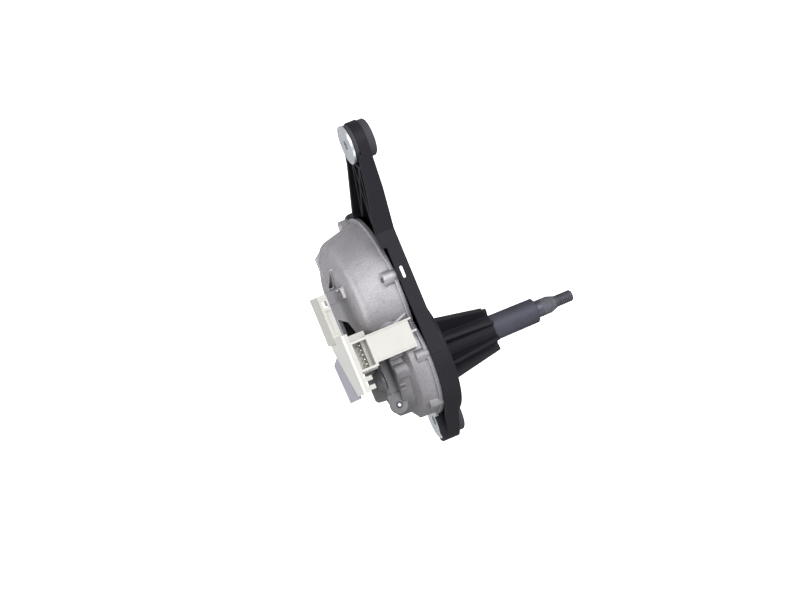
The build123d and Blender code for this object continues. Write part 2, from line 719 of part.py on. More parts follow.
def core_plan():
    """The laminations: T-shaped poles with slots between them."""
    plan = Circle(CORE_R)
    for index in range(CORE_POLES):
        turn = (index + 0.5) * 360 / CORE_POLES
        pocket = Pos((CORE_R + CORE_SLOT_R) / 2 - 0.7, 0) * Rectangle(CORE_R - CORE_SLOT_R - 1.4, 3.0)
        mouth = Pos(CORE_R, 0) * Rectangle(4, 1.2)
        plan -= Rot(0, 0, turn) * (pocket + mouth)
    return plan


def armature_core():
    start, end = CORE_SPAN
    return along_motor(core_plan() - Circle(SHAFT_R + FIT_GAP), start, end)


def windings():
    """The copper end turns, a rounded ring at each end of the core."""
    rings = []
    for end, side in ((CORE_SPAN[0], -1), (CORE_SPAN[1], 1)):
        near, far = end + side * 0.05, end + side * 4.4
        outline = [
            (CORE_SLOT_R - 1, near),
            (CORE_R - 0.7, near),
            (CORE_R - 0.9, near + side * 2.4),
            (CORE_R - 2.2, far),
            (CORE_SLOT_R, far),
            (CORE_SLOT_R - 1, far - side * 1.2),
        ]
        rings.append(spun(outline))
    return rings


def commutator():
    start, end = COMMUTATOR_SPAN
    plan = Circle(COMMUTATOR_R) - Circle(SHAFT_R + FIT_GAP)
    for index in range(COMMUTATOR_BARS):
        cut = Pos(COMMUTATOR_R, 0) * Rectangle(1.6, 0.5)
        plan -= Rot(0, 0, index * 360 / COMMUTATOR_BARS) * cut
    return along_motor(plan, start, end)


def shaft_bearing(start):
    plan = Circle(BEARING_R) - Circle(SHAFT_R + RUN_GAP)
    return along_motor(plan, start, start + BEARING_LONG)


def brush_places():
    """Each brush's side of the commutator, across the shaft."""
    return (-1, 1)


def brushes():
    width, long, reach = BRUSH
    at = (COMMUTATOR_SPAN[0] + COMMUTATOR_SPAN[1]) / 2 + 1
    start = COMMUTATOR_R + FIT_GAP
    carbon = []
    for side in brush_places():
        middle = side * (start + reach / 2)
        carbon.append(MOTOR * Pos(0, middle, at) * Box(width, reach, long))
    return carbon


def brush_springs():
    """A coil spring behind each brush, as its closed outer shape."""
    at = (COMMUTATOR_SPAN[0] + COMMUTATOR_SPAN[1]) / 2 + 1
    start = COMMUTATOR_R + BRUSH[2] + 2 * FIT_GAP
    length = YOKE_R - 2.0 - start
    springs = []
    for side in brush_places():
        middle = side * (start + length / 2)
        springs.append(MOTOR * Pos(0, middle, at) * Rot(90, 0, 0) * Cylinder(1.3, length))
    return springs


def brush_card():
    """The plate across the yoke's mouth, with a tube for each brush and spring."""
    start = YOKE_SPAN[1]
    card = along_motor(yoke_plan(), start, start + CARD_THICK)
    at = (COMMUTATOR_SPAN[0] + COMMUTATOR_SPAN[1]) / 2 + 1
    width, long, reach = BRUSH
    inner, outer = COMMUTATOR_R + 1.5, YOKE_R - 0.8
    for side in brush_places():
        middle = side * (inner + outer) / 2
        tall = 2 * (at - start)
        card += MOTOR * Pos(0, middle, at) * Box(width + 2.4, outer - inner, tall)
        bore = inner - 1 + (YOKE_R - 2.0 - inner + 1) / 2
        room = Box(width + 2 * SEAT_GAP, YOKE_R - 2.0 - inner + 1, long + 2 * SEAT_GAP)
        card -= MOTOR * Pos(0, side * bore, at) * room
    return card - along_motor(Circle(COMMUTATOR_R + 0.8), start - 1, start + CARD_HOLE)


# ------------------------------------------------------------------ housing
def flange_plan(inset=0.0):
    plan = Pos(*POT_AT) * Circle(POT_R - inset) + Circle(LOBE_R - inset)
    for at in SCREWS_AT:
        plan += Pos(*at) * Circle(BOSS_R - inset) if inset < BOSS_R else Sketch()
    return plan


def pot_shape(wall=0.0):
    """The deep pot, turned: a drafted side, a sloping shoulder and a flat back."""
    back = CAST_BACK + wall
    outline = [
        (FLANGE_FACE, 0),
        (FLANGE_FACE, POT_WALL_R - wall),
        (FLANGE_FACE - POT_SHOULDER, POT_SHOULDER_R - wall),
        (back, POT_BACK_R - wall * 0.6),
        (back, 0),
    ]
    pot = turned(outline, POT_AT)
    round_edges = pot.edges().filter_by(GeomType.CIRCLE)
    shoulder = [edge for edge in round_edges if abs(edge.radius - POT_SHOULDER_R + wall) < FIT_GAP]
    return fillet(shoulder, POT_ROUND - wall)


def lobe_shape():
    """The lobe round the worm wheel: a wide tier, a slope, a narrower tier and a box behind."""
    wall_r = LOBE_R - LOBE_SKIRT
    tier = FLANGE_FACE - LOBE_TIER
    outline = [
        (FLANGE_FACE, 0),
        (FLANGE_FACE, wall_r),
        (tier, wall_r - 0.4),
        (tier - LOBE_SLOPE, LOBE_STEP_R),
        (LOBE_BACK, LOBE_STEP_R - 0.3),
        (LOBE_BACK, 0),
    ]
    lobe = turned(outline)
    box = block((CAST_BACK, LOBE_BACK + 1), BLOCK_Y, BLOCK_Z)
    box = chamfer(box.faces().sort_by(Axis.X)[0].edges(), BLOCK_CHAMFER)
    base, tip = NOSE_R
    nose = [
        (CAST_BACK + 1, 0),
        (CAST_BACK + 1, base),
        (CAST_BACK, base),
        (CAST_BACK - NOSE_LONG, tip),
        (CAST_BACK - NOSE_LONG, 0),
    ]
    return lobe + box + turned(nose, NOSE_AT)


def lobe_relief():
    """What stands on the lobe's side that faces the connector: a drum, a rib and two bars."""
    pieces = [disc(DRUM_R, *DRUM_X, DRUM_AT)]
    pieces.append(block(DRUM_X, FRAME_RIB_Y, (DRUM_AT[1] - DRUM_R, FRAME_RIB_TOP)))
    length, width, rise = BAR
    for y in BARS_AT:
        top = math.sqrt(LOBE_STEP_R**2 - y**2) + rise
        bar_x = (LOBE_BACK + BAR_SET_IN, LOBE_BACK + BAR_SET_IN + length)
        bar_y = (y - width / 2, y + width / 2)
        pieces.append(block(bar_x, bar_y, (top - BAR_FOOT, top)))
    return pieces


def wheel_room():
    room = WHEEL_R + ADDENDUM + 1.3
    return turned([(FLANGE_FACE + 1, 0), (FLANGE_FACE + 1, room), (WHEEL_ROOM, room - 0.2), (WHEEL_ROOM, 0)])


def worm_tunnel():
    """A round passage for the worm, from the pot to the shaft's end."""
    return along_motor(Circle(WORM_PITCH_R + ADDENDUM + CAST_WALL), SADDLE_AT, SHAFT_SPAN[1] + CAST_WALL)


def pot_back_relief():
    """The pot's back: a bar across it, a gusset beyond the bar, and a pin."""
    top = CAST_BACK - BACK_BAR_RISE
    bar = slab(Pos(*POT_AT) * Circle(POT_BACK_R + 2), top, CAST_BACK + CAST_WALL - 1)
    span = (POT_AT[1] - POT_BACK_R, POT_AT[1] + POT_BACK_R)
    bar &= block((top - 1, CAST_BACK + CAST_WALL), BACK_BAR_Y, span)
    reach = POT_AT[0] + GUSSET_END
    top = CAST_BACK - GUSSET_RISE
    side = Polyline(
        (CAST_BACK + CAST_WALL - 1, BACK_BAR_Y[1] - 1),
        (top, BACK_BAR_Y[1] - 1),
        (top, reach - 3),
        (top + 4.2, reach),
        (FLANGE_FACE - POT_SHOULDER + 1, reach),
        close=True,
    )
    gusset = Pos(0, 0, GUSSET_Z[0]) * extrude(make_face(side), amount=GUSSET_Z[1] - GUSSET_Z[0])
    pin_at = (BACK_BAR_Y[1] - BACK_PIN_R, POT_AT[1] + POT_BACK_R - 2 * BACK_PIN_R - 3)
    pin = disc(BACK_PIN_R, CAST_BACK - BACK_PIN, CAST_BACK + 1, pin_at)
    return [bar, gusset, pin]


def pocket_plan(outset=0.0):
    """The three-cornered pocket beyond the bar."""
    edge = BACK_BAR_Y[1] + 2.2
    corners = [(edge, GUSSET_Z[1] + 1.5), (edge, POT_AT[1] + 13.0), (edge + 10.5, POT_AT[1] + 19.5)]
    face = make_face(Polyline(*corners, close=True))
    return offset(face, outset) if outset else face


def gear_housing_body():
    """The casting before anything is bored or cut in it."""
    cast = slab(flange_plan(), FLANGE_FACE - FLANGE_THICK, FLANGE_FACE)
    cast += pot_shape() + lobe_shape() + worm_tunnel()
    for relief in lobe_relief() + pot_back_relief():
        cast += relief
    ridge = pocket_plan(RIDGE) - pocket_plan()
    cast += slab(ridge, CAST_BACK - RIDGE_RISE, CAST_BACK + 1)
    cast -= slab(pocket_plan(), CAST_BACK - 3, CAST_BACK + POCKET_DEPTH)
    for at in SCREWS_AT:
        cast += disc(BOSS_R, FLANGE_FACE - BOSS_LONG, FLANGE_FACE, at)
    fin = make_face(Polyline(*[(FLANGE_FACE + x, y) for x, y in FIN], close=True))
    cast += Pos(0, 0, FIN_Z[0]) * extrude(fin, amount=FIN_Z[1] - FIN_Z[0])
    low, high = EAR_Z
    cast += Pos(*EAR_AT, low) * extrude(Circle(EAR_R), amount=high - low)
    ear_root = (EAR_AT[0] - EAR_R + EAR_NECK, EAR_AT[0] + EAR_R - EAR_NECK)
    cast += block(ear_root, (EAR_AT[1], BLOCK_Y[0] + BLOCK_CHAMFER + 1), EAR_Z)
    return cast


def gear_housing():
    cast = gear_housing_body()
    low, high = EAR_Z
    cast -= pot_shape(CAST_WALL)
    cast -= wheel_room()
    rebate = flange_plan(COVER_RIM) - Pos(*LOWER_AT) * Circle(WASHER_R + 1.0 + COVER_RIM - SEAT_GAP)
    cast -= slab(rebate, COVER_BACK - GASKET_THICK, FLANGE_FACE + 1)
    # a saddle for the shaft's middle bearing, standing in the pot
    foot, head = CAST_BACK + 1 - MOTOR_X, BEARING_R + CAST_WALL
    plan = Pos((foot + head) / 2, 0) * Rectangle(head - foot, 2 * (BEARING_R + CAST_WALL))
    cast += along_motor(plan, SADDLE_AT, SADDLE_AT + BEARING_LONG)
    for at in SCREWS_AT:
        cast += disc(BOSS_R, FLANGE_FACE - BOSS_LONG, FLANGE_FACE, at)
    cast -= along_motor(Circle(BEARING_R + FIT_GAP), SADDLE_AT - 1, SADDLE_AT + BEARING_LONG + 1)
    tip = WORM_PITCH_R + ADDENDUM + 0.7
    cast -= along_motor(Circle(tip), SADDLE_AT + BEARING_LONG, WORM_AT + WORM_LONG / 2 + 1)
    cast -= along_motor(Circle(SHAFT_R + RUN_GAP), WORM_AT, SHAFT_SPAN[1] + 0.1)
    cast -= disc(REAR_BUSH_R + FIT_GAP, SPINDLE_BACK - 1, WHEEL_ROOM + 1)
    for at in SCREWS_AT:
        cast -= disc(SCREW_R + FIT_GAP, FLANGE_FACE - BOSS_LONG - 1, FLANGE_FACE + 1, at)
    # the mouth in the pot's back that the electronics reach in through
    mouth = Polyline(*MOUTH, close=True)
    cast -= slab(make_face(mouth), CAST_BACK - 4, CAST_BACK + CAST_WALL + 1)
    cast -= Pos(*EAR_AT, low - 1) * extrude(Circle(EAR_SCREW_R + FIT_GAP), amount=high - low + 2)
    # the lower bush stands clear of the lobe
    cast -= disc(WASHER_R + 1.0, CAST_BACK - 5, FLANGE_FACE + 1, LOWER_AT)
    return cast


def housing_cover(x_back, thick):
    """A flat plate laid in the housing's rebate, with a hole for the spindle."""
    plan = flange_plan(COVER_RIM + SEAT_GAP) - Circle(SPINDLE_R + 0.6)
    for at in SCREWS_AT:
        plan -= Pos(*at) * Circle(BOSS_R + SEAT_GAP)
    plan -= Pos(*LOWER_AT) * Circle(WASHER_R + 1.0 + COVER_RIM)
    return slab(plan, x_back, x_back + thick)


def clip_nut():
    """The steel clip that is slid into the bracket's side, with the hole that its screw passes."""
    return clip_shape() - disc(SCREW_R + RUN_GAP, RIM_BACK, EYE_FACE, CLIP_AT)


def housing_screws():
    """The screws through the bracket into the casting's bosses, and the clip nut under one."""
    screws = [clip_nut()]
    for at in SCREWS_AT:
        seat = CLIP_FRONT if at == CLIP_AT else HEAD_BACK
        outline = [
            (seat - SCREW_LONG, 0),
            (seat - SCREW_LONG, SCREW_R),
            (seat, SCREW_R),
            (seat, SCREW_HEAD_R),
            (seat + SCREW_HEAD - 0.8, SCREW_HEAD_R),
            (seat + SCREW_HEAD, SCREW_HEAD_R - 1.4),
            (seat + SCREW_HEAD, SOCKET_KEY_R),
            (seat + SCREW_HEAD / 2, SOCKET_KEY_R),
            (seat + SCREW_HEAD / 2, 0),
        ]
        screws.append(turned(outline, at))
    return screws


def rear_bush():
    return ring(SPINDLE_R + RUN_GAP, REAR_BUSH_R, SPINDLE_BACK + 0.2, WHEEL_ROOM)


def thrust_washer():
    return ring(SPINDLE_R + RUN_GAP, REAR_BUSH_R + 2, WHEEL_ROOM, WHEEL_ROOM + CIRCLIP_THICK - 0.05)


def ear_screw():
    low, high = EAR_Z
    shank = Pos(*EAR_AT, low - 1) * extrude(Circle(EAR_SCREW_R), amount=high - low + 1)
    return shank + Pos(*EAR_AT, high) * extrude(Circle(EAR_HEAD_R), amount=EAR_HEAD)


# ------------------------------------------------------------------ electronics
def electronics_case():
    """The moulding that holds the board: its tray, socket, cover block, guide and tongue."""
    lid = LID_SEAT
    floor = CAST_BACK - SEAT_GAP
    case = block((lid, lid + CASE_SLAB), CASE_Y, CASE_Z)
    deep_z = (CASE_Z[0], CASE_BOX_Z - 2)
    case += block((lid, floor), TRAY_Y, deep_z)
    socket_x = (lid + CASE_SLAB, SOCKET_FRONT)
    case += block(socket_x, SOCKET_Y, (CASE_BOX_Z - 3, CASE_Z[1]))
    case += block((SOCKET_FRONT - SOCKET_WALL, COVER_BLOCK_X), COVER_BLOCK_Y, (COVER_BLOCK_Z, CASE_Z[1]))
    low, high = COVER_BLOCK_Y
    hollow_y = (low + SOCKET_WALL, high - SOCKET_WALL)
    hollow_x = (SOCKET_FRONT, COVER_BLOCK_X - SOCKET_WALL)
    case -= block(hollow_x, hollow_y, (COVER_BLOCK_Z - 1, CASE_Z[1] - SOCKET_WALL))
    for place, long in PRONGS:
        prong_x = (COVER_BLOCK_X - 1, COVER_BLOCK_X + long)
        prong_y = (high + place, high + place + PRONG)
        case += block(prong_x, prong_y, (CASE_Z[1] - PRONG_DEEP, CASE_Z[1]))
    # the guide channel beyond the lid, and the tongue that reaches into the housing
    wall = CASE_WALL
    guide_x = (lid - LID_THICK, lid - LID_THICK + GUIDE_DEPTH)
    guide = block(guide_x, (CASE_Y[1] - 2 * wall, GUIDE_TOP), GUIDE_Z)
    inner_y = (CASE_Y[1] - wall, GUIDE_TOP - wall)
    inner_z = (GUIDE_Z[0] - 1, GUIDE_Z[1] - wall)
    guide -= block((guide_x[0] + wall, guide_x[1] + 1), inner_y, inner_z)
    window_x = (guide_x[0] + wall, guide_x[1] - GUIDE_EDGE)
    window_y = (GUIDE_TOP + WINDOW_Y[0], GUIDE_TOP + WINDOW_Y[1])
    guide -= block(window_x, window_y, (inner_z[1] - 1, GUIDE_Z[1] + 1))
    near, far, depth = PANEL
    panel_y = (CASE_Y[1] + near, GUIDE_TOP + far)
    guide -= block((window_x[0], guide_x[1] + 1), panel_y, (GUIDE_Z[1] - depth, GUIDE_Z[1] + 1))
    case += guide
    root_y = (TONGUE_Y[0] - 1, CASE_Y[1])
    case += block((lid, lid + CASE_SLAB), root_y, (TONGUE_Z[0], CASE_Z[0] + 1))
    case += block((lid + CASE_SLAB - 1, CAST_BACK + 1.5), TONGUE_Y, TONGUE_Z)
    # the tray's room for the board
    tray_y = (TRAY_Y[0] + wall, TRAY_Y[1] - wall)
    tray_z = (deep_z[0] + wall, deep_z[1] - wall)
    case -= block((lid - 1, floor - wall), tray_y, tray_z)
    room_x = (socket_x[0] + SOCKET_WALL - 1.0, socket_x[1] - SOCKET_WALL)
    room_y = (SOCKET_Y[0] + SOCKET_WALL, SOCKET_Y[1] - SOCKET_WALL)
    case -= block(room_x, room_y, (CASE_BOX_Z, CASE_Z[1] + 1))
    case += block((room_x[1] - LEDGE[0], room_x[1]), room_y, (CASE_BOX_Z, CASE_BOX_Z + LEDGE[1]))
    for centre in pin_places():
        hole = PIN / 2 + RUN_GAP
        x, y = centre
        case -= block((x - hole, x + hole), (y - hole, y + hole), (deep_z[1] - wall - 1, CASE_BOX_Z + 1))
    # two latch fingers beside the housing
    long, wide, tall = FINGER
    foot = CASE_BOX_Z + FINGER_RISE
    for y in FINGERS_Y:
        case += block((lid + CASE_SLAB - 1, lid + CASE_SLAB + long), (y, y + wide), (foot, foot + tall))
    return case


def pin_places():
    """Where the connector's pins stand, as (X, Y)."""
    x = SOCKET_FRONT - SOCKET_DEPTH / 2
    middle = (SOCKET_Y[0] + SOCKET_Y[1]) / 2
    return [(x, middle + (index - (PINS - 1) / 2) * PIN_PITCH) for index in range(PINS)]


def connector_pins():
    """Bent pins, from the board out into the socket."""
    pins = []
    board = LID_SEAT + BOARD_DEEP + BOARD_THICK
    inner = CASE_Z[0] + CASE_WALL + 12
    for x, y in pin_places():
        across = (y - PIN / 2, y + PIN / 2)
        pin = block((x - PIN / 2, x + PIN / 2), across, (inner, CASE_BOX_Z + PIN_REACH))
        foot = block((min(board, x), max(board, x)), across, (inner, inner + PIN))
        pins.append(pin + foot)
    return pins


def circuit_board():
    wall = CASE_WALL + SEAT_GAP
    x = (LID_SEAT + BOARD_DEEP, LID_SEAT + BOARD_DEEP + BOARD_THICK)
    y = (TRAY_Y[0] + wall, TRAY_Y[1] - wall)
    z = (CASE_Z[0] + wall, CASE_BOX_Z - 2 - wall)
    return block(x, y, z)


def board_parts():
    """The capacitors and the driver chip that stand on the board."""
    top = LID_SEAT + BOARD_DEEP
    low_y, low_z = TRAY_Y[0] + CASE_WALL, CASE_Z[0] + CASE_WALL
    tall = BOARD_DEEP - LID_LIP - 0.4
    cans = []
    for index in (0, 1):
        at = (low_y + CAN_R + 1 + index * (2 * CAN_R + 1), low_z + CAN_R + 2)
        cans.append(disc(CAN_R, top - tall, top, at))
    chip_y = at[0] + CAN_R + 1
    chip_z = low_z + CAN_R
    cans.append(block((top - CHIP_TALL, top), (chip_y, chip_y + CHIP_WIDE), (chip_z, chip_z + CHIP_LONG)))
    return cans


def lid_plan():
    """The lid's outline, with its slanted corner and the step beside the guide."""
    low, high = CASE_Y
    step = high - 2 * CASE_WALL - SEAT_GAP
    corners = [
        (low, CASE_Z[1]),
        (high, CASE_Z[1]),
        (high, GUIDE_Z[1] + SEAT_GAP),
        (step, GUIDE_Z[1] + SEAT_GAP),
        (step, CASE_Z[0]),
        (LID_CUT[0], CASE_Z[0]),
        (low, LID_CUT[1]),
    ]
    return make_face(Polyline(*corners, close=True))


def electronics_lid():
    lid = slab(lid_plan(), LID_SEAT - LID_THICK, LID_SEAT)
    wall = CASE_WALL + SEAT_GAP
    lip_y = (TRAY_Y[0] + wall, CASE_Y[1] - 2 * CASE_WALL - wall)
    lip_z = (CASE_Z[0] + wall, CASE_BOX_Z - 2 - wall)
    lip = block((LID_SEAT, LID_SEAT + LID_LIP), lip_y, lip_z)
    room_y = (lip_y[0] + LIP_WALL, lip_y[1] - LIP_WALL)
    room_z = (lip_z[0] + LIP_WALL, lip_z[1] - LIP_WALL)
    lip -= block((LID_SEAT - 1, LID_SEAT + LID_LIP + 1), room_y, room_z)
    lip &= slab(lid_plan(), LID_SEAT - 1, LID_SEAT + LID_LIP)
    return lid + lip


def shield_plate():
    """A folded steel plate beside the lid's slanted edge, its leg along the tray's wall."""
    back = LID_SEAT - SHIELD_THICK
    near = CASE_Z[0] - SEAT_GAP
    plan = make_face(Polyline((LID_CUT[0], near), *SHIELD_LOW[::-1], SHIELD_SIDE, close=True))
    plan -= offset(lid_plan(), SEAT_GAP, kind=Kind.TANGENT)
    plate = slab(plan, back, LID_SEAT)
    return plate + block((back, LID_SEAT + SHIELD_LEG), SHIELD_LEG_Y, (near - SHIELD_THICK, near))


def save_all():
    os.makedirs("parts", exist_ok=True)
    save(bracket(), "bracket")
    save(bracket_snout(), "bracket_snout")
    for name, at in BUSHES.items():
        save(bush_rubber(at), f"{name}_bush_rubber")
        save(bush_sleeve(at), f"{name}_bush_sleeve")
    save(spindle_tube(), "spindle_tube")
    save(tube_bush(FLANGE_FACE + 1), "tube_rear_bush")
    save(tube_bush(TUBE_END - SEAL_LONG - 1.2 - BUSH_LONG), "tube_front_bush")
    seal = ring(SPINDLE_R + RUN_GAP, TUBE_BORE_R - FIT_GAP, TUBE_END - SEAL_LONG - 1.1, TUBE_END - 1.1)
    save(seal, "spindle_seal")
    save(output_spindle(), "output_spindle")
    save(spindle_circlip(), "spindle_circlip")
    save(rear_bush(), "rear_spindle_bush")
    save(thrust_washer(), "thrust_washer")
    save(worm_wheel(), "worm_wheel")
    save(wheel_hub(), "wheel_hub")
    save(armature_shaft(), "armature_shaft")
    save(armature_core(), "armature_core")
    save(windings(), "windings")
    save(commutator(), "commutator")
    save(shaft_bearing(YOKE_SPAN[0] - BEARING_LONG + YOKE_WALL), "rear_shaft_bearing")
    save(shaft_bearing(SADDLE_AT), "middle_shaft_bearing")
    save(motor_yoke(), "motor_yoke")
    save(magnets(), "magnets")
    save(brush_card(), "brush_card")
    save(brushes(), "brushes")
    save(brush_springs(), "brush_springs")
    save(gear_housing(), "gear_housing")
    save(housing_cover(COVER_BACK, COVER_THICK), "housing_cover")
    save(housing_cover(COVER_BACK - GASKET_THICK, GASKET_THICK), "cover_gasket")
    save(housing_screws(), "housing_screws")
    save(ear_screw(), "ear_screw")
    save(electronics_case(), "electronics_case")
    save(electronics_lid(), "electronics_lid")
    save(circuit_board(), "circuit_board")
    save(board_parts(), "board_parts")
    save(connector_pins(), "connector_pins")
    save(shield_plate(), "shield_plate")


if __name__ == "__main__":
    save_all()
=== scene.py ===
# %% [markdown]
# # A rear wiper motor, dressed from its CAD frame
#
# The CAD model already holds every rigid piece of the motor in its true place. This lesson gives
# those pieces their finishes, and makes the few shapes that are too fine for CAD, such as the
# spindle's screw thread. Everything is in metres, in the CAD model's own frame: the spindle points
# along +X, the long arm along +Y, and the connector opens upwards, along +Z.

import math

import bpy
import numpy as np
from mathutils import Matrix, Vector


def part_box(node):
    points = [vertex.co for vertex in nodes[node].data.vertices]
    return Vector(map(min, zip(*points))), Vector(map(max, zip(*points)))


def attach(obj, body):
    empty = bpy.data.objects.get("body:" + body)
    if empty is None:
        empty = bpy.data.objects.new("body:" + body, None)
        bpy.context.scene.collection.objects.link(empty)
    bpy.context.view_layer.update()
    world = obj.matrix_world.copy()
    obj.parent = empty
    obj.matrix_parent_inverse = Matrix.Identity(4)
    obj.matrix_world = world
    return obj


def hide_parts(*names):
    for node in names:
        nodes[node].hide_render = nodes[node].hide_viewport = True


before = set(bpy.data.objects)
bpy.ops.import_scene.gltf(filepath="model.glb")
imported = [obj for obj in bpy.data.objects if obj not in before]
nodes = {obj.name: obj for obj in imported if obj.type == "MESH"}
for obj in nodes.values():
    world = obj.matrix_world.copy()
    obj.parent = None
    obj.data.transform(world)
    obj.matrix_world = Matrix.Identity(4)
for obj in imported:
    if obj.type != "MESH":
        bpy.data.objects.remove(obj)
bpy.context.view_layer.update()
MM = 0.001

# %% [markdown]
# ## The camera
#
# A product like this is laid on a table and taken from above with a long lens, so that parallel
# edges stay nearly parallel. The camera looks almost straight down, tipped a little towards the
# spindle, and is rolled until the spindle rises to the right. Its three axes are written down as
# a matrix, because a rolled camera is awkward to give as angles.

# %% Camera
CAMERA_TILT = math.radians(13.0)
CAMERA_ROLL = math.radians(22.53)
CAMERA_DISTANCE = 2.4
CAMERA_TARGET = Vector((-9.6, 39.9, -4.2)) * MM
LENS = 166.3

roll_cos, roll_sin = math.cos(CAMERA_ROLL), math.sin(CAMERA_ROLL)
tilt_cos, tilt_sin = math.cos(CAMERA_TILT), math.sin(CAMERA_TILT)
look = Vector((tilt_sin, 0, -tilt_cos))
right = Vector((roll_cos * tilt_cos, -roll_sin, roll_cos * tilt_sin))
up = Vector((roll_sin * tilt_cos, roll_cos, roll_sin * tilt_sin))

camera = bpy.data.objects.new("camera", bpy.data.cameras.new("camera"))
camera.data.lens = LENS
camera.data.sensor_width = 36.0
camera.data.clip_end = 20.0
turn = Matrix((right, up, -look)).transposed().to_4x4()
camera.matrix_world = Matrix.Translation(CAMERA_TARGET - look * CAMERA_DISTANCE) @ turn
bpy.context.scene.collection.objects.link(camera)
bpy.context.scene.camera = camera
print("camera at", [round(v, 3) for v in camera.location])

# %% [markdown]
# ## Light and floor
#
# A white sweep with large soft lamps gives the flat, shadow-free light of a catalogue. The floor
# lies well under the part, so its shadow spreads out and fades to nothing. It is lit like the part
# and glows a little, but throws no light on it. The key lamp hangs high over the part, to one
# side, and a second lamp straight above looks down into the connector's socket. Three more stand
# low round it: one faces the spindle's end, one faces the electronics case's lid, and one stands
# beyond the lower bush. The sky is dim, so that faces turned away from the lamps go dark and the
# cast forms stay readable.
# The Standard view shows the floor as plain white, which a film-like view would turn grey.


# %% Light and floor
def soft_lamp(name, place, aim, size, power, colour=(1.0, 1.0, 1.0)):
    """A square area lamp at `place`, turned to face `aim`, both in metres."""
    lamp = bpy.data.objects.new(name, bpy.data.lights.new(name, "AREA"))
    lamp.data.shape = "SQUARE"
    lamp.data.size = size
    lamp.data.energy = power
    lamp.data.color = colour
    lamp.location = place
    lamp.rotation_euler = (Vector(aim) - Vector(place)).to_track_quat("-Z", "Y").to_euler()
    bpy.context.scene.collection.objects.link(lamp)
    return lamp


PART_MIDDLE = (0, 0.03, 0)
soft_lamp("key_lamp", (1.6, 2.9, 6.8), PART_MIDDLE, 4.0, 360.0)
soft_lamp("top_lamp", (0.3, 0.1, 7.0), PART_MIDDLE, 2.0, 85.0)
soft_lamp("spindle_lamp", (3.4, 0.6, 1.4), PART_MIDDLE, 1.6, 20.0)
soft_lamp("case_lamp", (-4.0, 0.3, 1.0), PART_MIDDLE, 3.0, 95.0)
soft_lamp("arm_lamp", (0.6, -3.0, 1.6), PART_MIDDLE, 1.6, 26.0)

world = bpy.data.worlds.new("studio")
world.use_nodes = True
sky_light = world.node_tree.nodes["Background"]
sky_light.inputs["Color"].default_value = (1.0, 1.0, 1.0, 1.0)
sky_light.inputs["Strength"].default_value = 0.5
bpy.context.scene.world = world
bpy.context.scene.view_settings.view_transform = "Standard"

FLOOR_Z = -0.7
FLOOR_HALF = 6.0
FLOOR_COLOUR = (0.93, 0.93, 0.93, 1)
FLOOR_GLOW = 0.55
corners = [(x * FLOOR_HALF, y * FLOOR_HALF, FLOOR_Z) for x, y in ((-1, -1), (1, -1), (1, 1), (-1, 1))]
floor_mesh = bpy.data.meshes.new("floor")
floor_mesh.from_pydata(corners, [], [(0, 1, 2, 3)])
floor = bpy.data.objects.new("floor", floor_mesh)
bpy.context.scene.collection.objects.link(floor)
floor.visible_diffuse = False
floor.visible_glossy = False

floor_paint = bpy.data.materials.new("floor_paint")
floor_paint.use_nodes = True
floor_shader = floor_paint.node_tree.nodes["Principled BSDF"]
floor_shader.inputs["Base Color"].default_value = FLOOR_COLOUR
floor_shader.inputs["Roughness"].default_value = 0.9
floor_shader.inputs["Emission Color"].default_value = (1, 1, 1, 1)
floor_shader.inputs["Emission Strength"].default_value = FLOOR_GLOW
floor_mesh.materials.append(floor_paint)
print("floor at", FLOOR_Z)

# %% [markdown]
# From the side the camera would see past the floor's edge. A sweep closes that view: paper that
# lies just under the floor, bends upwards all round it and ends as a wall. It is a profile turned
# about Z, and glows a little, as the floor does, so that both stay pale where the lamps don't reach.
# It throws no shadow and isn't seen by the part, so it changes nothing in the part's own light.

# %% Faces between rings of points
def ring_faces(rows, columns):
    """The quads of a grid whose columns close into rings: point = row x columns + column, and each
    quad joins a point, its neighbour round the ring, and the same two points one row on."""
    here = np.arange(columns)
    there = (here + 1) % columns
    row = np.arange(rows - 1)[:, None] * columns
    quads = np.stack([row + here, row + there, row + columns + there, row + columns + here], axis=-1)
    return quads.reshape(-1, 4)


# %% Sweep
SWEEP_FLAT, SWEEP_BEND, SWEEP_TOP = 7.0, 2.5, 9.0
SWEEP_UNDER = 0.002  # below the floor, so that the two don't lie in one plane
SWEEP_COLUMNS, BEND_ROWS = 72, 12

# radius = flat + bend x sin(t) and height = bend x (1 - cos(t)) for t from 0 to a quarter turn
bend = np.linspace(0, math.pi / 2, BEND_ROWS)
bend_radius = SWEEP_FLAT + SWEEP_BEND * np.sin(bend)
bend_height = SWEEP_BEND * (1 - np.cos(bend))
sweep_radius = np.concatenate([[SWEEP_FLAT / 2], bend_radius, [SWEEP_FLAT + SWEEP_BEND]])
sweep_height = np.concatenate([[0], bend_height, [SWEEP_TOP]]) + FLOOR_Z - SWEEP_UNDER
sweep_turn = np.linspace(0, math.tau, SWEEP_COLUMNS, endpoint=False)
sweep_points = np.stack([
    sweep_radius[:, None] * np.cos(sweep_turn), sweep_radius[:, None] * np.sin(sweep_turn),
    np.repeat(sweep_height[:, None], SWEEP_COLUMNS, axis=1),
], axis=-1).reshape(-1, 3)
sweep_faces = ring_faces(len(sweep_radius), SWEEP_COLUMNS)[:, ::-1]
sweep_mesh = bpy.data.meshes.new("sweep")
sweep_mesh.from_pydata(sweep_points.tolist(), [], sweep_faces.tolist())
sweep_mesh.polygons.foreach_set("use_smooth", [True] * len(sweep_mesh.polygons))
sweep_mesh.materials.append(floor_paint)
sweep = bpy.data.objects.new("sweep", sweep_mesh)
bpy.context.scene.collection.objects.link(sweep)
sweep.visible_diffuse = False
sweep.visible_glossy = False
sweep.visible_shadow = False
print(len(sweep_faces), "faces on the sweep")

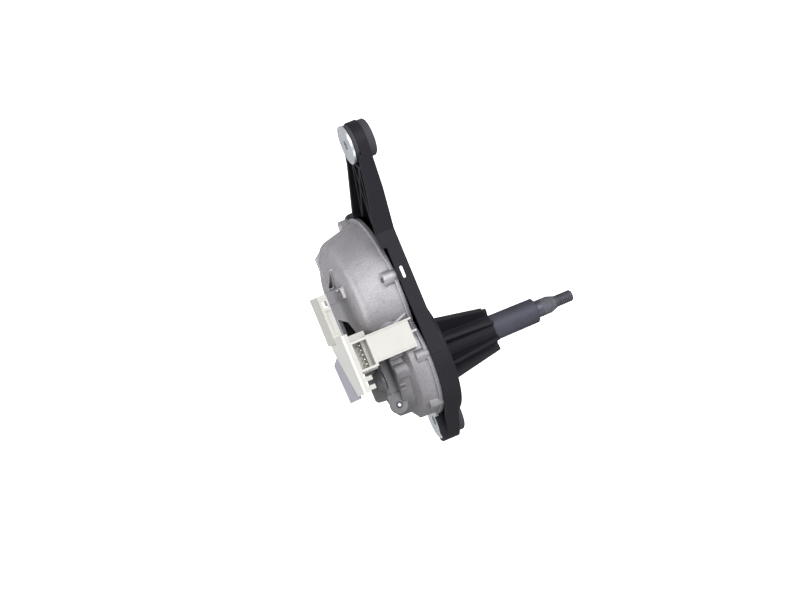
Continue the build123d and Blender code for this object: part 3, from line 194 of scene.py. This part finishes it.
# %% [markdown]
# ## Effects that several finishes share
#
# Cast metal and moulded plastic have two things in common: a fine grain that scatters light, and
# a slow mottle where the metal or the pigment flowed. One node group makes both from Object
# coordinates, so they don't slide when a piece is moved. A second group finds the edges: the
# Bevel node gives the normal of a slightly rounded solid, and where that leans away from the true
# normal there is an edge, which real handling polishes or pales.


# %% Node group helpers
def new_group(name, inputs, outputs):
    """An empty shader node group: `inputs` is {name: default value}, `outputs` {name: socket type}."""
    group = bpy.data.node_groups.new(name, "ShaderNodeTree")
    for label, value in inputs.items():
        socket = group.interface.new_socket(label, in_out="INPUT", socket_type="NodeSocketFloat")
        socket.default_value = value
    for label, kind in outputs.items():
        group.interface.new_socket(label, in_out="OUTPUT", socket_type=kind)
    return group, group.nodes.new("NodeGroupInput"), group.nodes.new("NodeGroupOutput")


def node(tree, kind, settings=None, **values):
    """Adds a node, sets its own settings, then its input sockets (underscores stand for spaces)."""
    made = tree.nodes.new(kind)
    for key, value in (settings or {}).items():
        setattr(made, key, value)
    for key, value in values.items():
        made.inputs[key.replace("_", " ")].default_value = value
    return made


# %% Grain and mottle
grain, given, result = new_group(
    "grain_and_mottle",
    {"Grain Scale": 2500.0, "Mottle Scale": 60.0, "Contrast": 1.0},
    {"Height": "NodeSocketFloat", "Mottle": "NodeSocketFloat"},
)
place = node(grain, "ShaderNodeTexCoord")
fine = node(grain, "ShaderNodeTexNoise", Detail=3.0, Roughness=0.6)
slow = node(grain, "ShaderNodeTexNoise", Detail=5.0, Roughness=0.55, Distortion=0.3)
stretch = node(grain, "ShaderNodeMath", {"operation": "MULTIPLY_ADD"})
centre = node(grain, "ShaderNodeMath", {"operation": "SUBTRACT"})
centre.inputs[1].default_value = 0.5
stretch.inputs[2].default_value = 0.5
clamp = node(grain, "ShaderNodeClamp")
for texture, scale in ((fine, "Grain Scale"), (slow, "Mottle Scale")):
    grain.links.new(place.outputs["Object"], texture.inputs["Vector"])
    grain.links.new(given.outputs[scale], texture.inputs["Scale"])
grain.links.new(slow.outputs["Fac"], centre.inputs[0])
grain.links.new(centre.outputs[0], stretch.inputs[0])
grain.links.new(given.outputs["Contrast"], stretch.inputs[1])
grain.links.new(stretch.outputs[0], clamp.inputs["Value"])
grain.links.new(fine.outputs["Fac"], result.inputs["Height"])
grain.links.new(clamp.outputs["Result"], result.inputs["Mottle"])
print("group", grain.name)

# %% Soft edges
edges, given, result = new_group(
    "soft_edges",
    {"Radius": 0.0005, "Gain": 4.0},
    {"Normal": "NodeSocketVector", "Edge": "NodeSocketFloat"},
)
rounded = node(edges, "ShaderNodeBevel", {"samples": 6})
facing = node(edges, "ShaderNodeNewGeometry")
agree = node(edges, "ShaderNodeVectorMath", {"operation": "DOT_PRODUCT"})
lean = node(edges, "ShaderNodeMath", {"operation": "SUBTRACT"})
lean.inputs[0].default_value = 1.0
gain = node(edges, "ShaderNodeMath", {"operation": "MULTIPLY", "use_clamp": True})
edges.links.new(given.outputs["Radius"], rounded.inputs["Radius"])
edges.links.new(rounded.outputs["Normal"], agree.inputs[0])
edges.links.new(facing.outputs["True Normal"], agree.inputs[1])
edges.links.new(agree.outputs["Value"], lean.inputs[1])
edges.links.new(lean.outputs[0], gain.inputs[0])
edges.links.new(given.outputs["Gain"], gain.inputs[1])
edges.links.new(rounded.outputs["Normal"], result.inputs["Normal"])
edges.links.new(gain.outputs[0], result.inputs["Edge"])
print("group", edges.name)

# %% [markdown]
# A third group paints shade into the hollows. The Ambient Occlusion node says how much of the sky
# a point sees within a few millimetres: in a corner or a groove that is little, and there the colour
# is darkened as painted shade. It reads only the solid's own shape, so it is the same from every side.

# %% Painted shade in hollows
painted_crevice_shade, given, result = new_group(
    "painted_crevice_shade", {"Reach": 0.003, "Gain": 1.5, "Floor": 0.25}, {"Crevice": "NodeSocketFloat"}
)
sky = node(painted_crevice_shade, "ShaderNodeAmbientOcclusion", {"samples": 5, "only_local": True})
hidden = node(painted_crevice_shade, "ShaderNodeMath", {"operation": "SUBTRACT"})
hidden.inputs[0].default_value = 1.0
deep = node(painted_crevice_shade, "ShaderNodeMath", {"operation": "SUBTRACT"})
amount = node(painted_crevice_shade, "ShaderNodeMath", {"operation": "MULTIPLY", "use_clamp": True})
painted_crevice_shade.links.new(given.outputs["Reach"], sky.inputs["Distance"])
painted_crevice_shade.links.new(sky.outputs["AO"], hidden.inputs[1])
painted_crevice_shade.links.new(hidden.outputs[0], deep.inputs[0])
painted_crevice_shade.links.new(given.outputs["Floor"], deep.inputs[1])
painted_crevice_shade.links.new(deep.outputs[0], amount.inputs[0])
painted_crevice_shade.links.new(given.outputs["Gain"], amount.inputs[1])
painted_crevice_shade.links.new(amount.outputs[0], result.inputs["Crevice"])
print("group", painted_crevice_shade.name)

# %% [markdown]
# ## The finishes
#
# Each finish says its two body colours, which the mottle blends, the paler or darker colour of
# its worn edges, how its roughness varies, and how deep its grain is. A finish with painted shade
# names the colour that its hollows are darkened to, and one with a coarse grain lets the grain darken
# and lighten it, by the share that it calls its speckle. The colours are linear.
# What is the same all over, such as how metallic it is, goes straight on the shader.


# %% Shared values
EDGE_GAIN = 8.0
SCATTER_COLOUR = (1.0, 0.9, 0.65)  # how far red, green and blue go into plastic, as shares
SCATTER_DEPTH = 2.5 * MM
SPECKLE_GRAIN = (0.3, 0.7)  # the grain's range that the speckle is spread over
print("light goes", SCATTER_DEPTH / MM, "mm into pale plastic")


# %% Colour mixer
def mixed(tree, factor, first, second):
    """Blends two colours, each a socket or three numbers, by a factor's socket. Gives a socket."""
    made = node(tree, "ShaderNodeMix", {"data_type": "RGBA"})
    sockets = {socket.identifier: socket for socket in made.inputs}
    tree.links.new(factor, sockets["Factor_Float"])
    for side, colour in (("A_Color", first), ("B_Color", second)):
        if isinstance(colour, tuple):
            sockets[side].default_value = (*colour, 1)
        else:
            tree.links.new(colour, sockets[side])
    return {socket.identifier: socket for socket in made.outputs}["Result_Color"]


def scaled(tree, colour, factor):
    """Multiplies a colour's socket by a number's socket. Gives a socket."""
    made = node(tree, "ShaderNodeVectorMath", {"operation": "SCALE"})
    tree.links.new(colour, made.inputs["Vector"])
    tree.links.new(factor, made.inputs["Scale"])
    return made.outputs["Vector"]


# %% Finish builder
def finish(
    name, dark, light, edge, rough, metallic=0.0, grain_scale=2500.0, mottle_scale=60.0,
    contrast=1.6, depth=0.00003, radius=0.0005, wear=0.5, specular=0.5, tint=(1, 1, 1), scatter=0.0,
    crevice_shade=None, reach=0.003, speckle=0.0,
):
    """A material whose colour runs from `dark` to `light` with the mottle, turns to `edge` on worn
    edges and to a painted shade colour in its hollows, and varies with its grain by the share `speckle`."""
    material = bpy.data.materials.new(name)
    material.use_nodes = True
    tree = material.node_tree
    shader = tree.nodes["Principled BSDF"]
    texture = node(tree, "ShaderNodeGroup", {"node_tree": grain})
    texture.inputs["Grain Scale"].default_value = grain_scale
    texture.inputs["Mottle Scale"].default_value = mottle_scale
    texture.inputs["Contrast"].default_value = contrast
    soft = node(tree, "ShaderNodeGroup", {"node_tree": edges})
    soft.inputs["Radius"].default_value = radius
    soft.inputs["Gain"].default_value = wear * EDGE_GAIN

    colour = mixed(tree, texture.outputs["Mottle"], dark, light)
    colour = mixed(tree, soft.outputs["Edge"], colour, edge)
    if speckle:
        spots = node(
            tree, "ShaderNodeMapRange", From_Min=SPECKLE_GRAIN[0], From_Max=SPECKLE_GRAIN[1],
            To_Min=1 - speckle, To_Max=1 + speckle,
        )
        tree.links.new(texture.outputs["Height"], spots.inputs["Value"])
        colour = scaled(tree, colour, spots.outputs["Result"])
    # Painted shade: hollows that see little sky are darkened towards this colour.
    if crevice_shade:
        shade_in_hollows = node(tree, "ShaderNodeGroup", {"node_tree": painted_crevice_shade})
        shade_in_hollows.inputs["Reach"].default_value = reach
        colour = mixed(tree, shade_in_hollows.outputs["Crevice"], colour, crevice_shade)
    tree.links.new(colour, shader.inputs["Base Color"])

    gloss = node(tree, "ShaderNodeMapRange", To_Min=rough[0], To_Max=rough[1])
    tree.links.new(texture.outputs["Mottle"], gloss.inputs["Value"])
    tree.links.new(gloss.outputs["Result"], shader.inputs["Roughness"])
    bump = node(tree, "ShaderNodeBump", Strength=1.0, Distance=depth)
    tree.links.new(texture.outputs["Height"], bump.inputs["Height"])
    tree.links.new(soft.outputs["Normal"], bump.inputs["Normal"])
    tree.links.new(bump.outputs["Normal"], shader.inputs["Normal"])

    shader.inputs["Metallic"].default_value = metallic
    shader.inputs["Specular IOR Level"].default_value = specular
    shader.inputs["Specular Tint"].default_value = (*tint, 1)
    shader.inputs["Subsurface Weight"].default_value = scatter
    if scatter:
        shader.inputs["Subsurface Radius"].default_value = SCATTER_COLOUR
        shader.inputs["Subsurface Scale"].default_value = SCATTER_DEPTH
    return material


# %% Finishes that show
ZINC_COLOURS = ((0.64, 0.68, 0.72), (0.80, 0.84, 0.88), (0.90, 0.92, 0.94))
# The zinc's hollows are darkened to a grey painted shade.
ZINC = dict(
    metallic=0.8, grain_scale=2200.0, mottle_scale=120.0, depth=0.00001, radius=0.0003, wear=0.4,
    crevice_shade=(0.22, 0.23, 0.25), reach=0.0015,
)
finishes = {
    "bracket_plastic": finish(
        "black_nylon",
        (0.0068, 0.0065, 0.0108), (0.0128, 0.0118, 0.0182), (0.026, 0.025, 0.034), (0.52, 0.68),
        grain_scale=1800.0, mottle_scale=45.0, depth=0.00002, radius=0.0006, wear=0.35, specular=0.25,
    ),
    "dark_steel": finish(
        "phosphated_steel", (0.075, 0.074, 0.094), (0.115, 0.114, 0.142), (0.19, 0.19, 0.22), (0.6, 0.74),
        metallic=0.8, grain_scale=1400.0, mottle_scale=70.0, depth=0.00002, radius=0.0004, wear=0.4,
        specular=0.2, tint=(0.5, 0.5, 0.56), speckle=0.10,
    ),
    # The casting's hollows are darkened to a dark grey painted shade.
    "cast_aluminium": finish(
        "cast_aluminium", (0.385, 0.375, 0.40), (0.515, 0.50, 0.53), (0.68, 0.665, 0.69), (0.54, 0.66),
        metallic=0.8, grain_scale=1300.0, mottle_scale=75.0, contrast=1.5, depth=0.00009, radius=0.0009,
        wear=0.6, crevice_shade=(0.15, 0.143, 0.152), reach=0.004, speckle=0.20,
    ),
    "zinc_steel": finish("zinc_plate", *ZINC_COLOURS, (0.42, 0.56), **ZINC),
    "rubber": finish(
        "moulded_rubber", (0.036, 0.035, 0.043), (0.056, 0.055, 0.066), (0.08, 0.08, 0.09), (0.6, 0.75),
        grain_scale=1500.0, mottle_scale=70.0, depth=0.00003, radius=0.0007, wear=0.3, specular=0.35,
    ),
    # The cream plastic's hollows, such as the socket's inside, are darkened to a tan painted shade.
    "cream_plastic": finish(
        "cream_plastic", (0.555, 0.55, 0.515), (0.61, 0.605, 0.57), (0.66, 0.655, 0.61), (0.42, 0.54),
        grain_scale=2400.0, mottle_scale=50.0, depth=0.00001, radius=0.0004, wear=0.3, scatter=0.4,
        crevice_shade=(0.58, 0.52, 0.40), reach=0.0015,
    ),
    "lid_plastic": finish(
        "lid_plastic", (0.66, 0.655, 0.63), (0.73, 0.725, 0.70), (0.78, 0.775, 0.75), (0.42, 0.54),
        grain_scale=2400.0, mottle_scale=45.0, depth=0.00001, radius=0.0004, wear=0.3, scatter=0.1,
    ),
}
# The shield plate's blue-grey is its own pale grey with painted shade in it: the cool, darker tone of its
# shaded side.
shield_painted_shade_finish = finish(
    "shield_painted_shade", (0.46, 0.465, 0.535), (0.56, 0.565, 0.64), (0.72, 0.725, 0.78), (0.5, 0.64),
    metallic=0.6, grain_scale=1800.0, mottle_scale=70.0, depth=0.00001, radius=0.0003, wear=0.4,
    speckle=0.05,
)
# The spindle's thread roots and other hollows are darkened to a near-black painted shade.
spindle_finish = finish(
    "worn_steel", (0.085, 0.085, 0.105), (0.135, 0.135, 0.162), (0.36, 0.36, 0.40), (0.48, 0.62),
    metallic=0.8, grain_scale=1400.0, mottle_scale=90.0, depth=0.00001, radius=0.00025, wear=0.6,
    specular=0.2, tint=(0.5, 0.5, 0.56), crevice_shade=(0.018, 0.018, 0.022), reach=0.0009, speckle=0.12,
)
print(len(finishes) + 2, "finishes on the outside")

# %% [markdown]
# ## The gearbox end of the casting
#
# The gearbox end of the housing lies in the shade of the electronics case, and there the colour is
# darkened below that of the motor's pot, as painted shade. A mask runs along Y, from the gearbox to
# the pot, with its edge made uneven by a slow noise, and the painted shade grows towards the
# casting's back.

# %% Painted shade on the casting
PAINTED_SHADE_FROM, PAINTED_SHADE_TO = 20 * MM, 4 * MM
PAINTED_SHADE_BACK = (-20 * MM, -42 * MM)
# The painted shade leaves these shares of the colour: where there is none, in front, and at the back.
PAINTED_SHADE_LEFT = (1.0, 0.74, 0.36)  # what is left of the colour: with no film, in front, at the back
PAINTED_SHADE_WANDER = 14 * MM
PAINTED_SHADE_NOISE = 90.0  # the noise that moves the edge, in cells to the metre


def add_painted_gearbox_shade(material):
    """Paints shade by darkening the colour along the mask: shade = 1 - mask(y) x (1 - shade(x))."""
    tree = material.node_tree
    shader = tree.nodes["Principled BSDF"]
    colour = shader.inputs["Base Color"].links[0].from_socket
    place = node(tree, "ShaderNodeTexCoord")
    parts = node(tree, "ShaderNodeSeparateXYZ")
    wander = node(tree, "ShaderNodeTexNoise", Scale=PAINTED_SHADE_NOISE, Detail=3.0)
    uneven = node(tree, "ShaderNodeMath", {"operation": "MULTIPLY_ADD"})
    uneven.inputs[1].default_value = PAINTED_SHADE_WANDER
    along = node(
        tree, "ShaderNodeMapRange", {"interpolation_type": "SMOOTHSTEP"},
        From_Min=PAINTED_SHADE_FROM + PAINTED_SHADE_WANDER / 2, From_Max=PAINTED_SHADE_TO + PAINTED_SHADE_WANDER / 2,
    )
    shade = node(
        tree, "ShaderNodeMapRange",
        From_Min=PAINTED_SHADE_BACK[0], From_Max=PAINTED_SHADE_BACK[1], To_Min=PAINTED_SHADE_LEFT[1], To_Max=PAINTED_SHADE_LEFT[2],
    )
    left = node(tree, "ShaderNodeMapRange", To_Min=PAINTED_SHADE_LEFT[0])
    tree.links.new(place.outputs["Object"], parts.inputs["Vector"])
    tree.links.new(place.outputs["Object"], wander.inputs["Vector"])
    tree.links.new(wander.outputs["Fac"], uneven.inputs[0])
    tree.links.new(parts.outputs["Y"], uneven.inputs[2])
    tree.links.new(uneven.outputs[0], along.inputs["Value"])
    tree.links.new(parts.outputs["X"], shade.inputs["Value"])
    tree.links.new(along.outputs["Result"], left.inputs["Value"])
    tree.links.new(shade.outputs["Result"], left.inputs["To Max"])
    tree.links.new(scaled(tree, colour, left.outputs["Result"]), shader.inputs["Base Color"])


# Painted shade darkens the gearbox end and the back of the casting.
add_painted_gearbox_shade(finishes["cast_aluminium"])
print("film from y", PAINTED_SHADE_FROM, "to", PAINTED_SHADE_TO)

# %% [markdown]
# ## The finishes inside
#
# Nobody sees the motor's inside in use, but the model can be opened, so the copper, the bronze
# bearings and the plastic wheel get finishes of their own as well.

# %% Finishes inside
finishes["spring_steel"] = finish(
    "ground_steel", (0.30, 0.30, 0.31), (0.44, 0.44, 0.46), (0.6, 0.6, 0.6), (0.22, 0.38),
    metallic=1.0, mottle_scale=150.0, depth=0.000006, radius=0.0002,
)
finishes["sintered_bronze"] = finish(
    "sintered_bronze", (0.30, 0.19, 0.09), (0.44, 0.30, 0.15), (0.55, 0.4, 0.22), (0.4, 0.55),
    metallic=0.9, grain_scale=3000.0, mottle_scale=200.0, depth=0.00003, radius=0.0003,
)
finishes["wheel_plastic"] = finish(
    "natural_acetal", (0.76, 0.75, 0.69), (0.84, 0.83, 0.78), (0.88, 0.88, 0.84), (0.3, 0.42),
    mottle_scale=60.0, depth=0.000008, radius=0.0002, scatter=0.2,
)
finishes["lamination_steel"] = finish(
    "stacked_steel", (0.24, 0.24, 0.26), (0.36, 0.36, 0.38), (0.5, 0.5, 0.5), (0.35, 0.5),
    metallic=0.95, grain_scale=2800.0, mottle_scale=110.0, depth=0.00002, radius=0.0002,
)
finishes["copper"] = finish(
    "enamelled_copper", (0.50, 0.19, 0.075), (0.66, 0.29, 0.13), (0.75, 0.4, 0.2), (0.25, 0.4),
    metallic=0.9, grain_scale=1400.0, mottle_scale=220.0, depth=0.00004, radius=0.0003,
)
finishes["ferrite"] = finish(
    "pressed_ferrite", (0.03, 0.03, 0.033), (0.06, 0.06, 0.065), (0.12, 0.12, 0.12), (0.45, 0.6),
    metallic=0.2, grain_scale=2600.0, mottle_scale=100.0, depth=0.00002, radius=0.0003,
)
finishes["board_laminate"] = finish(
    "green_laminate", (0.015, 0.10, 0.04), (0.03, 0.17, 0.07), (0.12, 0.28, 0.14), (0.3, 0.42),
    grain_scale=1200.0, mottle_scale=300.0, depth=0.00001, radius=0.0002,
)
finishes["tinned_brass"] = finish(
    "tinned_brass", (0.52, 0.50, 0.44), (0.66, 0.64, 0.58), (0.8, 0.78, 0.7), (0.22, 0.36),
    metallic=1.0, mottle_scale=180.0, depth=0.000006, radius=0.0002,
)
print(len(finishes), "finishes in all")

# %% Put the finishes on the CAD nodes
for name, piece in nodes.items():
    for slot in piece.material_slots:
        record_slot = slot.material.name.split(".")[0] if slot.material else ""
        if record_slot in finishes:
            slot.material = finishes[record_slot]
        else:
            print("no finish for", name, record_slot)
for slot in nodes["shield_plate"].material_slots:
    slot.material = shield_painted_shade_finish
print("finishes set on", len(nodes), "nodes")

# %% [markdown]
# ## The turned washers
#
# The three sleeves end in washers that were faced on a lathe, and the tool left faint rings round
# each hole. A wave texture makes them: the wave runs outwards from the X axis, so a Mapping node
# first moves each washer's middle onto that axis. The rings shade the colour a little and raise
# the surface by two hundredths of a millimetre.

# %% Turned washers
RING_STEP = 2.6 * MM
RING_SHADE = (0.88, 1.06)
RING_HEIGHT = 0.02 * MM
WAVE_TURNS = 20.0  # Blender's wave texture takes 20 radians for each unit of its coordinate

for label in ("long_arm_bush_sleeve", "lower_bush_sleeve", "far_bush_sleeve"):
    low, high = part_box(label)
    turned = finish(f"turned_zinc_{label}", *ZINC_COLOURS, (0.36, 0.52), **ZINC)
    tree = turned.node_tree
    shader = tree.nodes["Principled BSDF"]
    middle = [0.0] + [-(low[axis] + high[axis]) / 2 for axis in (1, 2)]
    place = node(tree, "ShaderNodeTexCoord")
    centred = node(tree, "ShaderNodeMapping", Location=middle)
    rings = node(
        tree, "ShaderNodeTexWave", {"wave_type": "RINGS", "rings_direction": "X"},
        Scale=math.tau / (WAVE_TURNS * RING_STEP), Distortion=0.8, Detail=2.0,
    )
    shade = node(tree, "ShaderNodeMapRange", To_Min=RING_SHADE[0], To_Max=RING_SHADE[1])
    raised = node(tree, "ShaderNodeBump", Strength=1.0, Distance=RING_HEIGHT)
    plain_colour = shader.inputs["Base Color"].links[0].from_socket
    plain_normal = shader.inputs["Normal"].links[0].from_socket
    tree.links.new(place.outputs["Object"], centred.inputs["Vector"])
    tree.links.new(centred.outputs["Vector"], rings.inputs["Vector"])
    tree.links.new(rings.outputs["Fac"], shade.inputs["Value"])
    tree.links.new(scaled(tree, plain_colour, shade.outputs["Result"]), shader.inputs["Base Color"])
    tree.links.new(rings.outputs["Fac"], raised.inputs["Height"])
    tree.links.new(plain_normal, raised.inputs["Normal"])
    tree.links.new(raised.outputs["Normal"], shader.inputs["Normal"])
    for slot in nodes[label].material_slots:
        slot.material = turned
print("rings every", RING_STEP / MM, "mm on the washers")

# %% [markdown]
# ## The spindle's thread and knurl
#
# The end of the output spindle carries the wiper arm: a cone with a fine crossed knurl that bites
# into the arm's boss, and a screw thread for its nut. Both are too fine for the CAD solid, so the
# spindle is made again here as one surface of revolution whose radius also depends on the angle.
# A profile gives the radius along the axis, a helix takes the thread's groove out of it, and two
# crossed helices take out the knurl. The two ends close on points of the axis.

# %% Spindle profile
SPINDLE_PROFILE = np.array([
    (-43.0, 5.1), (-42.5, 5.6), (-22.3, 5.6), (-22.3, 5.1), (-21.3, 5.1), (-21.3, 5.6),
    (70.9, 5.6), (71.2, 5.75), (80.3, 5.75), (85.5, 3.95), (96.2, 3.95), (97.2, 2.95),
])
KNURL_FROM, KNURL_TO = 74.6, 84.6
KNURL_TEETH = 32
KNURL_DEPTH = 0.24
KNURL_LEAD = 36.0  # how far along the axis a knurl line goes in one turn
KNURL_FADE = 0.8  # over which the knurl starts and ends
KNURL_STEP = 0.14  # between rows of points
THREAD_FROM, THREAD_TO = 85.5, 97.2
THREAD_FADE = 0.5  # over which the thread runs out at the tip
THREAD_PITCH = 1.25
THREAD_DEPTH = 0.52
THREAD_ROWS = 12  # rows of points in one turn
CREST_SLOPE, CREST_DROP = 2.0, 0.45  # about a quarter of each turn is flat at crest and root
GROOVE_INSIDE = [-22.299, -21.301]  # rows just inside the circlip's groove, for upright walls
COLUMNS = 240

box_low, box_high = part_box("output_spindle")
print("spindle in CAD runs from", round(box_low[0] / MM, 2), "to", round(box_high[0] / MM, 2), "mm")


# %% Spindle surface
def crest(phase):
    """A V with flats: 1 on the crest, 0 in the root, for a phase in turns."""
    triangle = np.abs(2 * (phase % 1.0) - 1)
    return np.clip(triangle * CREST_SLOPE - CREST_DROP, 0, 1)


def fade(x, start, end):
    """0 at or before `start`, 1 at or after `end`, straight between them."""
    return np.clip((x - start) / (end - start), 0, 1)


def spindle_surface(x, angle):
    """Radius in mm at x and angle: profile, less thread depth x (1 - crest(x / pitch - turn)), less
    knurl depth x (1 - the lower of the crests of two helices that wind opposite ways)."""
    turn = angle / math.tau
    radius = np.interp(x, SPINDLE_PROFILE[:, 0], SPINDLE_PROFILE[:, 1])
    cut = fade(x, THREAD_FROM, THREAD_FROM + THREAD_PITCH) * (1 - fade(x, THREAD_TO - THREAD_FADE, THREAD_TO))
    radius = radius - cut * THREAD_DEPTH * (1 - crest(x / THREAD_PITCH - turn))
    ahead = crest(KNURL_TEETH * (turn + x / KNURL_LEAD))
    behind = crest(KNURL_TEETH * (turn - x / KNURL_LEAD))
    bite = fade(x, KNURL_FROM, KNURL_FROM + KNURL_FADE) * (1 - fade(x, KNURL_TO - KNURL_FADE, KNURL_TO))
    return radius - bite * KNURL_DEPTH * (1 - np.minimum(ahead, behind))


def closed_tube(name, along, angles, radius, centre=(0, 0, 0), turn=(0, 1, 2)):
    """A skin over the grid of points (along, r cos a, r sin a), closed with a point at each end. `turn`
    says which of the three numbers becomes x, y and z, and `centre` in mm is added to them."""
    rows, columns = radius.shape
    ring = np.repeat(along[:, None], columns, axis=1)
    points = np.stack([ring, radius * np.cos(angles), radius * np.sin(angles)], axis=-1).reshape(-1, 3)
    ends = np.array([(along[0], 0, 0), (along[-1], 0, 0)])
    points = (np.concatenate([points, ends])[:, turn] + np.array(centre)) * MM
    first, last = rows * columns, rows * columns + 1
    tail = (rows - 1) * columns
    pairs = [(a, (a + 1) % columns) for a in range(columns)]
    fans = [(first, b, a) for a, b in pairs] + [(last, tail + a, tail + b) for a, b in pairs]
    mesh = bpy.data.meshes.new(name)
    mesh.from_pydata(points.tolist(), [], ring_faces(rows, columns).tolist() + fans)
    mesh.update()
    made = bpy.data.objects.new(name, mesh)
    bpy.context.scene.collection.objects.link(made)
    return made


knurl_x = np.arange(KNURL_FROM, KNURL_TO, KNURL_STEP)
thread_x = np.arange(KNURL_TO, THREAD_TO, THREAD_PITCH / THREAD_ROWS)
spindle_x = np.unique(np.concatenate([SPINDLE_PROFILE[:, 0], knurl_x, thread_x, GROOVE_INSIDE]))
spindle_angles = np.linspace(0, math.tau, COLUMNS, endpoint=False)[None, :]
spindle_radius = spindle_surface(spindle_x[:, None], spindle_angles)
spindle = closed_tube("threaded_spindle", spindle_x, spindle_angles, spindle_radius)
print(len(spindle.data.polygons), "faces on the spindle")

# %% Finish and seat the spindle
spindle.data.materials.append(spindle_finish)
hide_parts("output_spindle")
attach(spindle, "output")
print(spindle.name, "rides on the output body")

# %% [markdown]
# ## The screw in the ear
#
# A small pan-head screw sits in the ear of the casting. Its head is domed and has a round socket
# in it. It is a surface of revolution too, so the same skin makes it: its profile runs from the
# shank's end, round the head and down into the socket. Its axis is Z, so the skin's three numbers
# are turned round by one place.
#
# The socket's floor faces the lamps overhead, and its light is painted in as a painted highlight:
# the finish turns to pale zinc within the socket's radius of the screw's axis.

# %% Ear screw
ear_low, ear_high = (np.array(corner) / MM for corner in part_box("ear_screw"))
EAR_HEAD_R = (ear_high[0] - ear_low[0]) / 2
EAR_SHANK_R = 1.4
EAR_HEAD_HIGH = 0.8
SOCKET_R = 1.15
SOCKET_DEEP = 0.7
DOME = 0.25  # what the head's edge is lower than its middle
ROUNDS = 48
SOCKET_BLEND = 0.1  # either side of the socket's edge, where black turns to zinc
# The pale colour of the painted highlight in the socket.
SOCKET_PAINTED_HIGHLIGHT = (0.62, 0.66, 0.70)


def painted_highlight_socket_finish(centre):
    """A black screw finish with a painted highlight in its socket: it turns to pale zinc where
    sqrt(x^2 + y^2) from the axis is under the socket's radius."""
    # The screw's hollows are darkened to a near-black painted shade, which makes the dark ring round the
    # socket.
    made = finish(
        "black_screw", (0.03, 0.03, 0.035), (0.06, 0.06, 0.068), (0.16, 0.16, 0.18), (0.4, 0.55),
        metallic=0.7, radius=0.0002, crevice_shade=(0.01, 0.01, 0.012), reach=0.001,
    )
    tree = made.node_tree
    shader = tree.nodes["Principled BSDF"]
    black = shader.inputs["Base Color"].links[0].from_socket
    place = node(tree, "ShaderNodeTexCoord")
    centred = node(
        tree, "ShaderNodeMapping", Location=[-centre[0] * MM, -centre[1] * MM, 0], Scale=(1, 1, 0)
    )
    distance = node(tree, "ShaderNodeVectorMath", {"operation": "LENGTH"})
    inside = node(
        tree, "ShaderNodeMapRange",
        From_Min=(SOCKET_R + SOCKET_BLEND) * MM, From_Max=(SOCKET_R - SOCKET_BLEND) * MM,
    )
    tree.links.new(place.outputs["Object"], centred.inputs["Vector"])
    tree.links.new(centred.outputs["Vector"], distance.inputs[0])
    tree.links.new(distance.outputs["Value"], inside.inputs["Value"])
    painted_highlight = mixed(tree, inside.outputs["Result"], black, SOCKET_PAINTED_HIGHLIGHT)
    tree.links.new(painted_highlight, shader.inputs["Base Color"])
    return made


top, seat = ear_high[2], ear_high[2] - EAR_HEAD_HIGH
screw_profile = np.array([
    (ear_low[2], EAR_SHANK_R), (seat, EAR_SHANK_R), (seat, EAR_HEAD_R), (top - DOME, EAR_HEAD_R),
    (top - DOME / 3, EAR_HEAD_R - 0.25), (top, SOCKET_R + 0.2), (top - 0.1, SOCKET_R),
    (top - SOCKET_DEEP, SOCKET_R - 0.1),
])
screw_angles = np.linspace(0, math.tau, ROUNDS, endpoint=False)[None, :]
screw_radius = np.repeat(screw_profile[:, 1:2], ROUNDS, axis=1)
middle = ((ear_low[0] + ear_high[0]) / 2, (ear_low[1] + ear_high[1]) / 2, 0)
screw = closed_tube("ear_pan_screw", screw_profile[:, 0], screw_angles, screw_radius, middle, (1, 2, 0))
screw.data.materials.append(painted_highlight_socket_finish(middle))
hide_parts("ear_screw")
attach(screw, "housing")
print(len(screw.data.polygons), "faces on the screw")

# %% [markdown]
# ## The rails on the connector's cover
#
# Two thin rails stiffen the long edges of the flat cover beside the socket. Each is a bar with a
# nearly square section, which is a superellipse: |y / width|^6 + |z / height|^6 = 1. Its two ends
# narrow a little by a similar formula along its length, and close flat. The bars sink into the
# cover, so only their upper halves show.

# %% Cover rails
RAIL_FROM, RAIL_TO = -47.6, -20.9
RAIL_HALF = (0.5, 0.6)  # width and height, from the middle
RAIL_Y = (26.9, 9.1)
COVER_TOP = 40.0
SQUARENESS = 6
END_SQUARENESS = 144  # so high that each end narrows only over its last few tenths of a millimetre
RAIL_ROWS, RAIL_COLUMNS = 24, 32


def rail_radius(along, angles):
    """Superellipse in polar form, (|cos a / w|^n + |sin a / h|^n)^(-1/n), times (1 - |t|^m)^(1/n), where
    t runs from -1 to 1 along the bar, n is SQUARENESS and m is END_SQUARENESS."""
    wide, high = RAIL_HALF
    section = np.abs(np.cos(angles) / wide) ** SQUARENESS
    section += np.abs(np.sin(angles) / high) ** SQUARENESS
    t = 2 * (along - RAIL_FROM) / (RAIL_TO - RAIL_FROM) - 1
    ends = (1 - np.abs(t) ** END_SQUARENESS) ** (1 / SQUARENESS)
    return ends[:, None] * section ** (-1 / SQUARENESS)


rail_ease = np.sin(np.linspace(-math.pi / 2, math.pi / 2, RAIL_ROWS + 2))[1:-1]
rail_x = RAIL_FROM + (RAIL_TO - RAIL_FROM) * (rail_ease + 1) / 2
rail_angles = np.linspace(0, math.tau, RAIL_COLUMNS, endpoint=False)[None, :]
for label, y in zip(("far", "near"), RAIL_Y):
    radius = rail_radius(rail_x, rail_angles)
    rail = closed_tube(f"cover_rail_{label}", rail_x, rail_angles, radius, (0, y, COVER_TOP))
    rail.data.materials.append(finishes["cream_plastic"])
    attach(rail, "housing")
    print(rail.name, len(rail.data.polygons), "faces")
